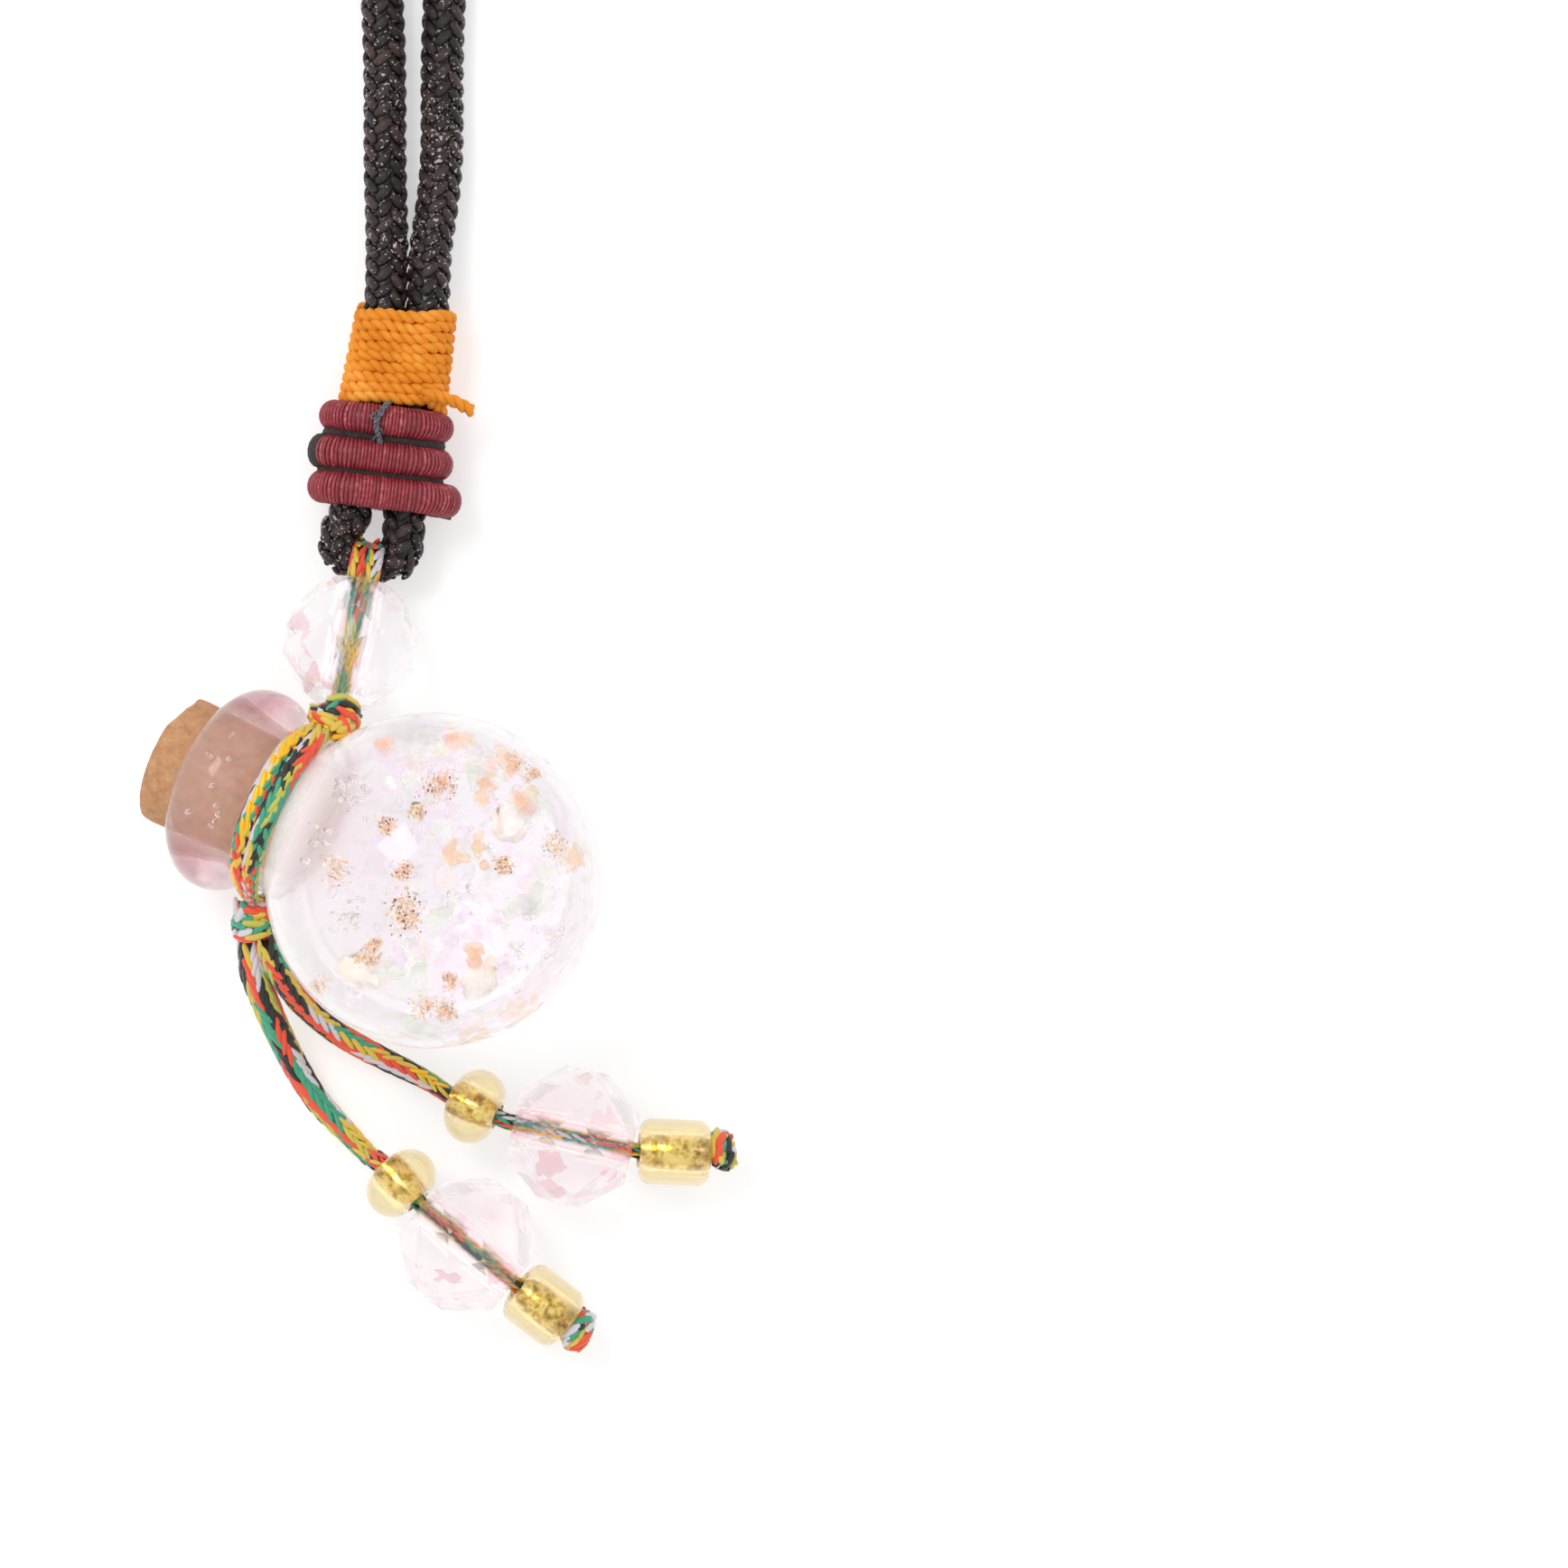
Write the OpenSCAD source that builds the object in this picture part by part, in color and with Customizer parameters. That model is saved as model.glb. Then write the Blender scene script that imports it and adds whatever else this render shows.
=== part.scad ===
// Glass bottle pendant on a braided necklace cord, lying on a table.
// Lengths are in millimetres. The table is z = 0, and the round body stands over the origin.

/* [Glass bottle] */
// Outer diameter of the round body
globe_d = 13.0; // [12.4:0.1:13.6]
// Thickness of the glass of the round body
glass_wall = 1.6; // [1.2:0.1:2.0]
// Outer diameter of the neck under the rim
neck_d = 6.5; // [6.2:0.1:6.8]
// Outer diameter of the rolled rim
lip_d = 8.0; // [7.7:0.1:8.4]
// Thickness of the rolled rim along the neck
lip_thick = 3.2; // [3.0:0.1:3.4]
// Length of the narrow neck between the round body and the rim, which the thread fills
neck_len = 1.82; // [1.7:0.02:1.9]
// Diameter of the hole down the neck
mouth_d = 5.1; // [4.7:0.1:5.3]
// Direction in which the neck points, counted from the X axis
neck_heading = 155.4; // [150:0.2:160]

/* [Cork] */
// Whole length of the stopper
cork_len = 6.0; // [5.0:0.1:6.4]
// Length of cork that stands out of the rim
cork_proud = 1.3; // [1.0:0.1:1.8]
// Diameter of the inner end of the stopper
cork_tip_d = 4.7; // [4.3:0.1:4.8]
// Clearance between cork and glass at the rim
cork_fit = 0.03; // [0.02:0.01:0.06]
// Depth of the broken corner, measured in from the edge of the outer end
cork_chip = 0.9; // [0.5:0.1:1.2]

/* [Necklace cord] */
// Diameter of the braided cord
cord_d = 1.62; // [1.54:0.02:1.64]
// Radial thickness of the red rope rings
coil_thick = 1.1; // [0.9:0.05:1.2]
// Height of one red rope ring along the cord
coil_tall = 1.34; // [1.2:0.02:1.36]
// Share of its radius that the cord loses under the thread that hangs from it
cord_squeeze = 0.5; // [0.4:0.02:0.56]
// Distance along the cord over which it swells back to its full diameter
squeeze_reach = 0.8; // [0.7:0.05:1.0]
// Clearance between the cord and what is wound round it
winding_gap = 0.06; // [0.04:0.01:0.1]
// Number of turns of the orange yarn
wrap_turns = 8; // [6:1:10]
// Thickness of the orange yarn
yarn_thick = 0.36; // [0.3:0.02:0.42]
// Height of the orange winding along the cord
wrap_tall = 3.5; // [3.2:0.1:3.6]

/* [Thread] */
// Diameter of the many-coloured thread of the two tails
thread_d = 1.0; // [0.8:0.05:1.1]
// Diameter of each strand of the doubled thread in the upper bead
hanger_d = 0.5; // [0.4:0.02:0.52]
// Clearance between pieces of thread, and between thread and glass
thread_gap = 0.04; // [0.03:0.01:0.06]
// Diameter of the knot over the neck
upper_knot_d = 1.8; // [1.6:0.1:1.9]
// Length of the knot over the neck
upper_knot_len = 1.3; // [1.1:0.1:1.4]
// Diameter of the knot under the neck
lower_knot_d = 1.5; // [1.3:0.1:1.6]
// Length of the knot under the neck
lower_knot_len = 1.4; // [1.2:0.1:1.5]
// Diameter of the knots at the ends of the tails
end_knot_d = 1.6; // [1.4:0.1:1.8]
// Length of the knots at the ends of the tails
end_knot_len = 1.2; // [1.0:0.1:1.4]

/* [Beads] */
// Diameter of the clear cut bead over the bottle
top_bead_d = 5.5; // [5.2:0.1:5.7]
// Length of the clear cut bead
top_bead_len = 4.7; // [4.4:0.1:4.9]
// Bore of the clear cut bead
top_bead_bore = 1.5; // [1.4:0.05:1.7]
// Diameter of the pink cut beads
pink_bead_d = 5.7; // [5.4:0.1:5.8]
// Length of the pink cut beads
pink_bead_len = 4.7; // [4.4:0.1:5.0]
// Diameter of the round gold beads
gold_round_d = 3.0; // [2.8:0.1:3.2]
// Length of the round gold beads
gold_round_len = 2.0; // [1.8:0.1:2.2]
// Diameter of the gold barrel beads
gold_barrel_d = 2.6; // [2.4:0.1:2.8]
// Length of the gold barrel bead of the first tail
long_barrel_len = 2.8; // [2.6:0.1:3.0]
// Length of the gold barrel bead of the second tail
short_barrel_len = 2.5; // [2.3:0.1:2.7]
// Radius of the rounded edge of a barrel bead
barrel_round = 0.5; // [0.3:0.05:0.7]
// Bore of the beads on the tails
tail_bead_bore = 1.3; // [1.25:0.05:1.5]
// Facets round a cut bead
bead_facets = 8; // [8:1:10]
// Gap between two beads that touch
bead_gap = 0.08; // [0.05:0.01:0.12]

/* [Hidden] */
$fn = 64;

globe_r = globe_d / 2;
neck_r = neck_d / 2;
lip_r = lip_thick / 2;
lip_ring_r = lip_d / 2 - lip_r;
cord_r = cord_d / 2;
overcut = 1;

// Distances from the centre of the round body along the neck
groove_start = sqrt(pow(globe_r, 2) - pow(neck_r, 2));
groove_end = groove_start + neck_len;
lip_at = groove_end + sqrt(pow(lip_r, 2) - pow(neck_r - lip_ring_r, 2));
mouth_reach = lip_at + lip_r;

// The bottle lies on its round body and on its rim, so the neck slopes down to the table
neck_slope = asin((globe_r - lip_r) / norm([lip_at, lip_ring_r])) - atan(lip_ring_r / lip_at);
polar = 90 + neck_slope;
neck_dir = [sin(polar) * cos(neck_heading), sin(polar) * sin(neck_heading), cos(polar)];
under_dir = [cos(polar) * cos(neck_heading), cos(polar) * sin(neck_heading), -sin(polar)];
side_dir = [-sin(neck_heading), cos(neck_heading), 0];

// A point beside the neck: its distance along the neck, its angle from the underside, its radius
function beside_neck(along, around, radius) =
    [0, 0, globe_r] + along * neck_dir
    + radius * (cos(around) * under_dir + sin(around) * side_dir);

// Two turns of thread, pulled tight, fill the narrow neck between the round body and the rim
binding_d = (neck_len - 3 * thread_gap) / 2;
binding_at = (groove_start + groove_end) / 2;
binding_r = neck_r + thread_gap + binding_d / 2;

// The two knots of the thread round the neck: along the neck, angle, distance outside the thread
upper_knot_spot = [binding_at + 0.2, 284, binding_r + 0.5];
lower_knot_spot = [binding_at - 0.3, 85, binding_r + 0.7];
upper_knot_at = beside_neck(upper_knot_spot.x, upper_knot_spot.y, upper_knot_spot.z);
lower_knot_at = beside_neck(lower_knot_spot.x, lower_knot_spot.y, lower_knot_spot.z);

function heading(yaw, pitch) = [cos(pitch) * cos(yaw), cos(pitch) * sin(yaw), sin(pitch)];

// A cut bead: heights of its rows of corners as shares of its length. The radii make each facet flat
cut_row_1 = 0.18;
cut_row_2 = 0.40;
cut_row_3 = 0.50;
facet_cos = cos(180 / bead_facets);
cut_r1 = facet_cos;
cut_r2 = 1 - (1 - cut_r1 * facet_cos) * cut_row_2 / cut_row_1;
cut_r3 = cut_r1 - (cut_r1 - cut_r2 * facet_cos) * (cut_row_3 - cut_row_1) / (cut_row_2 - cut_row_1);
cut_rows = [
    [-cut_row_3, cut_r3], [-cut_row_2, cut_r2], [-cut_row_1, cut_r1], [0, 1],
    [cut_row_1, cut_r1], [cut_row_2, cut_r2], [cut_row_3, cut_r3]
];

// Height of the middle of a cut bead that lies on one of its facets, tipped by the pitch
function rest_height(d, len, pitch) =
    cut_row_1 * len * sin(abs(pitch)) + cut_r1 * d / 2 * cos(pitch);

// The upper bead hangs from the knot and lies on the table. The pitch is found in a few steps
top_bead_yaw = 80;
knot_to_bead = upper_knot_len / 2 + bead_gap + top_bead_len / 2;
function settled_pitch(pitch, steps) = steps == 0 ? pitch : settled_pitch(
    -asin((upper_knot_at.z - rest_height(top_bead_d, top_bead_len, pitch)) / knot_to_bead),
    steps - 1);
top_bead_pitch = settled_pitch(-20, 12);
top_bead_dir = heading(top_bead_yaw, top_bead_pitch);
top_bead_at = upper_knot_at + knot_to_bead * top_bead_dir;

// The two strands of the cord where they run side by side: middle x, y, spread over the diameter
bundle = [
    [-2.28, 15.02, 1.24],
    [-2.20, 16.42, 1.14],
    [-2.00, 17.82, 1.06],
    [-1.72, 18.75, 1.04],
    [-1.24, 22.05, 1.03]
];
COIL_ROWS = [2, 1, 0];
coil_yaw = 83;
WRAP_ROWS = [3, 4];
bundle_z = cord_r + winding_gap + coil_thick;

// The bend that the pendant hangs from, from the left strand to the right: x, y, and drop in height
bend_route = [
    [-3.42, 14.2, 0], [-3.8, 13.5, 0.05], [-3.86, 13.0, 0.1], [-3.68, 12.55, 0.1],
    [-3.3, 12.25, 0.1], [-2.8, 12.13, 0.1], [-2.3, 12.1, 0.1], [-1.85, 12.22, 0.1],
    [-1.5, 12.55, 0.1], [-1.38, 13.0, 0.1], [-1.34, 13.5, 0.05], [-1.3, 14.2, 0]
];
// The thread loops over the bend here, and squeezes the cord
loop_at = [bend_route[5].x, bend_route[5].y, bundle_z - bend_route[5].z];
function squeezed(p) = 1 - cord_squeeze * exp(-pow(norm(p - loop_at) / squeeze_reach, 2));
// The rest of the loop as x, y and height over the table, from the right strand round to the left
loop_route = [
    [-0.3, 24.5, 0.6], [0.1, 28, 0.15], [0.2, 34, 0.02], [1, 46, 0], [4, 64, 0], [13, 86, 0],
    [28, 108, 0], [44, 130, 0], [60, 152, 0], [74, 176, 0], [82, 202, 0], [82, 228, 0],
    [73, 252, 0], [56, 270, 0], [35, 281, 0], [12, 286, 0], [-14, 286, 0], [-37, 281, 0],
    [-58, 270, 0], [-75, 252, 0], [-84, 228, 0], [-84, 202, 0], [-76, 176, 0], [-62, 152, 0],
    [-46, 130, 0], [-30, 108, 0], [-15, 86, 0], [-6, 64, 0], [-3, 46, 0], [-2.2, 34, 0.02],
    [-2.1, 28, 0.15], [-2.0, 24.5, 0.6]
];

function strand(row, side) =
    [row.x + side * row.z * cord_r, row.y, bundle_z];
cord_route = concat(
    [for (p = bend_route) [p.x, p.y, bundle_z - p.z]],
    [for (row = bundle) strand(row, 1)],
    [for (p = loop_route) [p.x, p.y, cord_r + p.z]],
    [for (i = [len(bundle) - 1 : -1 : 0]) strand(bundle[i], -1)]);

// The free stretch of each tail, from the lower knot to its first bead
tail_route_1 = [
    [-6.5, -2.5, 4.4], [-6.2, -3.3, 3.9], [-5.6, -4.4, 3.0], [-4.8, -5.3, 2.2], [-3.8, -6.1, 1.6],
    [-2.6, -6.8, 1.2], [-1.4, -7.4, 1.2], [-0.4, -7.9, 1.5]
];
tail_route_2 = [
    [-7.4, -2.5, 3.8], [-7.4, -3.4, 3.4], [-7.0, -4.6, 2.7], [-6.4, -6.0, 1.9], [-5.7, -7.3, 1.1],
    [-4.8, -8.6, 0.8], [-3.8, -9.7, 0.9], [-2.7, -10.8, 1.4]
];
// Where the middle of each pink bead lies, as x and y
pink_spot_1 = [5.3, -10.0];
pink_spot_2 = [1.2, -14.2];
// Direction of each bead of a tail as yaw and pitch: round bead, pink bead, barrel bead, knot
bead_turns_1 = [[-24, 9], [-13, 0], [-3, -6], [0, -10]];
bead_turns_2 = [[-47, 10], [-40, 0], [-38, -8], [-35, -12]];
// Bare thread between the round bead and the pink bead
bare_1 = 0.5;
bare_2 = 0;

// Two beads that meet at an angle touch at the edge of the smaller one's flat end
function seat_gap(a, b, flat_r) = bead_gap + flat_r * norm(cross(a, b));

// The middles of the beads of a tail: each follows from its neighbour's length and direction
function tail_spots(pink_spot, turns, bare, barrel_len) =
    let (dirs = [for (turn = turns) heading(turn.x, turn.y)],
         round_gap = bare + seat_gap(dirs[0], dirs[1], (gold_round_d - gold_round_len) / 2),
         barrel_gap = seat_gap(dirs[1], dirs[2], gold_barrel_d / 2 - barrel_round),
         knot_gap = seat_gap(dirs[2], dirs[3], end_knot_d / 4),
         pink = [pink_spot.x, pink_spot.y, rest_height(pink_bead_d, pink_bead_len, turns[1].y)],
         pink_in = pink - pink_bead_len / 2 * dirs[1],
         pink_out = pink + pink_bead_len / 2 * dirs[1],
         round_spot = pink_in - round_gap / 2 * (dirs[0] + dirs[1])
                      - gold_round_len / 2 * dirs[0],
         barrel_spot = pink_out + barrel_gap / 2 * (dirs[1] + dirs[2])
                       + barrel_len / 2 * dirs[2],
         barrel_out = barrel_spot + barrel_len / 2 * dirs[2],
         knot_spot = barrel_out + knot_gap / 2 * (dirs[2] + dirs[3])
                     + end_knot_len / 2 * dirs[3])
    [round_spot, pink, barrel_spot, knot_spot];

spots_1 = tail_spots(pink_spot_1, bead_turns_1, bare_1, long_barrel_len);
spots_2 = tail_spots(pink_spot_2, bead_turns_2, bare_2, short_barrel_len);

// A tail's thread runs down its free stretch, then through the bore of each bead
function through_bead(spot, turn, length) =
    [for (share = [-0.5, 0, 0.5]) spot + share * length * heading(turn.x, turn.y)];
function tail_path(route, spots, turns, barrel_len) = concat(
    smooth_open(route, 2),
    through_bead(spots[0], turns[0], gold_round_len),
    through_bead(spots[1], turns[1], pink_bead_len),
    through_bead(spots[2], turns[2], barrel_len - bead_gap));
path_1 = tail_path(tail_route_1, spots_1, bead_turns_1, long_barrel_len);
path_2 = tail_path(tail_route_2, spots_2, bead_turns_2, short_barrel_len);

// Curves and swept tubes
function unit(v) = v / norm(v);
function curve_point(a, b, c, d, t) =
    0.5 * (2 * b + (c - a) * t + (2 * a - 5 * b + 4 * c - d) * pow(t, 2)
           + (3 * b - a - 3 * c + d) * pow(t, 3));
function smooth_closed(pts, steps) =
    let (n = len(pts))
    [for (i = [0 : n - 1], k = [0 : steps - 1])
        curve_point(pts[(i + n - 1) % n], pts[i], pts[(i + 1) % n], pts[(i + 2) % n], k / steps)];
function smooth_open(pts, steps) =
    let (n = len(pts))
    concat([for (i = [0 : n - 2], k = [0 : steps - 1])
        curve_point(pts[max(i - 1, 0)], pts[i], pts[i + 1], pts[min(i + 2, n - 1)], k / steps)],
        [pts[n - 1]]);
function circle_section(r, sides) =
    [for (k = [0 : sides - 1]) r * [cos(360 * k / sides), sin(360 * k / sides)]];
function along(pts, i, closed) =
    let (n = len(pts))
    closed ? unit(pts[(i + 1) % n] - pts[(i + n - 1) % n])
           : unit(pts[min(i + 1, n - 1)] - pts[max(i - 1, 0)]);

// Sweeps a section along a path, scaled by its girth at each point.
// The section's second axis stays as close to up as it can
module sweep(path, section, up, closed, girths = []) {
    n = len(path);
    m = len(section);
    points = [
        for (i = [0 : n - 1])
            let (forward = along(path, i, closed),
                 across = unit(cross(up, forward)),
                 rise = cross(forward, across),
                 girth = len(girths) > 0 ? girths[i] : 1)
            for (s = section) path[i] + girth * (s.x * across + s.y * rise)
    ];
    last = closed ? n - 1 : n - 2;
    walls = [
        for (i = [0 : last], k = [0 : m - 1])
            let (a = i * m + k, b = i * m + (k + 1) % m,
                 c = ((i + 1) % n) * m + (k + 1) % m, d = ((i + 1) % n) * m + k)
            each [[a, d, c], [a, c, b]]
    ];
    caps = closed ? [] : [
        [for (k = [0 : m - 1]) k],
        [for (k = [m - 1 : -1 : 0]) (n - 1) * m + k]
    ];
    polyhedron(points = points, faces = concat(walls, caps), convexity = 10);
}

// A ring wound round both strands at one place of the bundle, with its own section
module winding(middle, spread, axis, section) {
    width_dir = unit(cross(axis, [0, 0, 1]));
    height_dir = cross(width_dir, axis);
    inner_r = cord_r + winding_gap;
    steps = 12;
    path = [
        for (side = [1, -1], k = [0 : steps])
            let (angle = (side > 0 ? -90 : 90) + 180 * k / steps)
            middle + (side * spread * cord_r + inner_r * cos(angle)) * width_dir
            + inner_r * sin(angle) * height_dir
    ];
    sweep(path, section, axis, true);
}

function bundle_point(row) = [row.x, row.y, bundle_z];
function bundle_dir(low, high) = unit(bundle_point(high) - bundle_point(low));

// Module names follow the nodes
module in_bottle() {
    translate([0, 0, globe_r]) rotate([0, polar, neck_heading]) children();
}

module aim(spot, yaw, pitch) {
    translate(spot) rotate([0, 90 - pitch, yaw]) children();
}

module glass_bottle() {
    color("MistyRose", 0.6) in_bottle() difference() {
        union() {
            sphere(globe_r);
            translate([0, 0, groove_start - glass_wall])
                cylinder(r = neck_r, h = lip_at - groove_start + glass_wall);
            translate([0, 0, lip_at]) rotate_extrude() translate([lip_ring_r, 0]) circle(lip_r);
        }
        sphere(globe_r - glass_wall);
        cylinder(r = mouth_d / 2, h = mouth_reach + overcut);
    }
}

module cork_stopper() {
    rim_cork_r = mouth_d / 2 - cork_fit;
    sunk = cork_len - cork_proud;
    tip_r = cork_tip_d / 2;
    head_r = rim_cork_r + (rim_cork_r - tip_r) * cork_proud / sunk;
    color("Peru") in_bottle() translate([0, 0, mouth_reach - sunk]) difference() {
        cylinder(r1 = tip_r, r2 = head_r, h = cork_len);
        // The broken corner faces up and away from the tails
        rotate([0, 0, 235]) translate([head_r - cork_chip, 0, cork_len]) rotate([0, 35, 0])
            translate([-overcut, -head_r - overcut, 0]) cube(2 * (head_r + overcut));
    }
}

module necklace_cord() {
    path = smooth_closed(cord_route, 2);
    color("#3a2a26") sweep(path, circle_section(cord_r, 8), [0, 0, 1], true,
        [for (p = path) squeezed(p)]);
}

module red_coil(row) {
    section = [
        for (p = circle_section(0.5, 12)) [coil_thick * (p.x + 0.5), coil_tall * p.y]
    ];
    color("#96303f")
        winding(bundle_point(bundle[row]), bundle[row].z, heading(coil_yaw, 0), section);
}

module orange_wrap() {
    low = bundle[WRAP_ROWS[0]];
    high = bundle[WRAP_ROWS[1]];
    middle = (bundle_point(low) + bundle_point(high)) / 2;
    turn_tall = wrap_tall / wrap_turns;
    groove = 0.4;
    // Each turn of yarn shows as a rounded rib on the outside of the sleeve
    ribs = [
        for (turn = [0 : wrap_turns - 1], rib = [[0, 1 - groove], [0.25, 1], [0.75, 1]])
            [yarn_thick * rib.y, (turn + rib.x) * turn_tall - wrap_tall / 2]
    ];
    section = concat([[0, -wrap_tall / 2]], ribs,
        [[yarn_thick * (1 - groove), wrap_tall / 2], [0, wrap_tall / 2]]);
    color("#ee9a2b")
        winding(middle, (low.z + high.z) / 2, bundle_dir(low, high), section);
}

module hanger_thread() {
    // Down one side of the bore, round the bend of the cord and back up the other side
    half = hanger_d / 2 + thread_gap / 2;
    lift_dir = cross(unit(cross(top_bead_dir, [0, 0, 1])), top_bead_dir);
    start = upper_knot_at + (upper_knot_len / 2 + thread_gap) * top_bead_dir;
    inside = top_bead_at;
    // The two strands part just inside the end of the bore
    mouth = top_bead_at + (top_bead_len / 2 - 0.15) * top_bead_dir;
    turn_r = cord_r * (1 - cord_squeeze) + 2 * thread_gap + hanger_d / 2;
    path = concat(
        [for (p = [start, inside, mouth]) p - half * lift_dir],
        [for (angle = [-120 : 20 : 120]) loop_at + turn_r * heading(top_bead_yaw, angle)],
        [for (p = [mouth, inside, start]) p + half * lift_dir]);
    side = unit(cross([0, 0, 1], top_bead_dir));
    color("#3e8f70") sweep(path, circle_section(hanger_d / 2, 8), side, false);
}

module cut_bead(d, length, bore) {
    n = bead_facets;
    rows = len(cut_rows);
    corners = [
        for (j = [0 : rows - 1], k = [0 : n - 1])
            let (angle = 360 / n * (k + (j % 2 == 0 ? 0.5 : 0)) + 180 / n)
            [d / 2 * cut_rows[j].y * cos(angle), d / 2 * cut_rows[j].y * sin(angle),
             length * cut_rows[j].x]
    ];
    // Rows with even numbers are turned half a facet ahead of their neighbours
    function id(j, k) = j * n + (k + n) % n;
    kites = [
        for (j = [1 : rows - 2], k = [0 : n - 1])
            j % 2 == 1
            ? [id(j, k), id(j + 1, k), id(j, k + 1), id(j - 1, k)]
            : [id(j, k - 1), id(j + 1, k), id(j, k), id(j - 1, k)]
    ];
    low_ends = [for (k = [0 : n - 1]) [id(0, k - 1), id(1, k), id(0, k)]];
    high_ends = [for (k = [0 : n - 1]) [id(rows - 1, k), id(rows - 2, k), id(rows - 1, k - 1)]];
    tables = [[for (k = [0 : n - 1]) id(0, k)], [for (k = [n - 1 : -1 : 0]) id(rows - 1, k)]];
    difference() {
        polyhedron(points = corners, faces = concat(kites, low_ends, high_ends, tables));
        cylinder(d = bore, h = length + 2 * overcut, center = true);
    }
}

module top_bead() {
    color("#f6ecef", 0.7) aim(top_bead_at, top_bead_yaw, top_bead_pitch)
        cut_bead(top_bead_d, top_bead_len, top_bead_bore);
}

module pink_bead(spots, turns) {
    color("#f7cfd6", 0.7) aim(spots[1], turns[1].x, turns[1].y)
        cut_bead(pink_bead_d, pink_bead_len, tail_bead_bore);
}

module gold_round(spots, turns) {
    edge_r = gold_round_len / 2;
    color("#f2c766", 0.8) aim(spots[0], turns[0].x, turns[0].y) rotate_extrude() intersection() {
        translate([gold_round_d / 2 - edge_r, 0]) circle(edge_r);
        translate([tail_bead_bore / 2, -edge_r]) square([gold_round_d, 2 * edge_r]);
    }
}

module gold_barrel(spots, turns, length) {
    inner = tail_bead_bore / 2;
    outer = gold_barrel_d / 2;
    color("#f2c766", 0.8) aim(spots[2], turns[2].x, turns[2].y) rotate_extrude() intersection() {
        union() {
            translate([0, barrel_round - length / 2])
                square([outer, length - 2 * barrel_round]);
            translate([0, -length / 2]) square([outer - barrel_round, length]);
            for (side = [-1, 1])
                translate([outer - barrel_round, side * (length / 2 - barrel_round)])
                    circle(barrel_round);
        }
        translate([inner, -length / 2]) square([outer, length]);
    }
}

// A knot shows two fat turns of thread side by side
module knot(d, length) {
    turn_r = min(length / 4 + thread_gap, d / 4);
    rotate_extrude() union() {
        for (side = [-1, 1])
            translate([d / 2 - turn_r, side * (length / 2 - turn_r)]) circle(turn_r);
        translate([0, -length / 2]) square([d / 2 - turn_r, length]);
    }
}

module upper_knot() {
    color("#c9a53a") aim(upper_knot_at, top_bead_yaw, top_bead_pitch)
        knot(upper_knot_d, upper_knot_len);
}

module lower_knot() {
    color("#d8532f") aim(lower_knot_at, -90, 0) knot(lower_knot_d, lower_knot_len);
}

module end_knot(spots, turns) {
    color("#2f8f6c") aim(spots[3], turns[3].x, turns[3].y) knot(end_knot_d, end_knot_len);
}

module neck_binding() {
    // Each turn stops short of both knots
    upper_stop = asin((upper_knot_d / 2 + thread_gap) / binding_r);
    lower_stop = asin((lower_knot_d / 2 + thread_gap) / binding_r);
    arcs = [
        [lower_knot_spot.y + lower_stop, upper_knot_spot.y - upper_stop],
        [upper_knot_spot.y + upper_stop, lower_knot_spot.y + 360 - lower_stop]
    ];
    color("#e0b23c") in_bottle()
        for (side = [-0.5, 0.5], arc = arcs)
            translate([0, 0, binding_at + side * (binding_d + thread_gap)])
                rotate([0, 0, arc.x]) rotate_extrude(angle = arc.y - arc.x)
                    translate([binding_r, 0]) circle(d = binding_d);
}

module tail_thread(path) {
    color("#d9742f") sweep(path, circle_section(thread_d / 2, 8), [0, 0, 1], false);
}

glass_bottle();
cork_stopper();
necklace_cord();
orange_wrap();
red_coil(COIL_ROWS[0]);  // red_coil_1
red_coil(COIL_ROWS[1]);  // red_coil_2
red_coil(COIL_ROWS[2]);  // red_coil_3
hanger_thread();
top_bead();
upper_knot();
neck_binding();
lower_knot();
tail_thread(path_1);  // tail_thread_1
gold_round(spots_1, bead_turns_1);  // gold_round_1
pink_bead(spots_1, bead_turns_1);  // pink_bead_1
gold_barrel(spots_1, bead_turns_1, long_barrel_len);  // gold_barrel_1
end_knot(spots_1, bead_turns_1);  // end_knot_1
tail_thread(path_2);  // tail_thread_2
gold_round(spots_2, bead_turns_2);  // gold_round_2
pink_bead(spots_2, bead_turns_2);  // pink_bead_2
gold_barrel(spots_2, bead_turns_2, short_barrel_len);  // gold_barrel_2
end_knot(spots_2, bead_turns_2);  // end_knot_2
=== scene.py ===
# %% [markdown]
# # A glass bottle pendant on a braided necklace cord
# A small hand-blown bottle lies on a table. A many-coloured braided thread is pulled tight round its
# neck, runs up through a clear cut bead to the necklace cord, and down in two tails with pink and
# gold beads. The measured frame fixes every size and place. This notebook dresses it, piece by piece:
# braids from real lobes, glass from real walls, and materials named for what they are.

# %% Load the measured frame
import math

import bpy
import numpy as np
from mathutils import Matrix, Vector, noise


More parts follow.
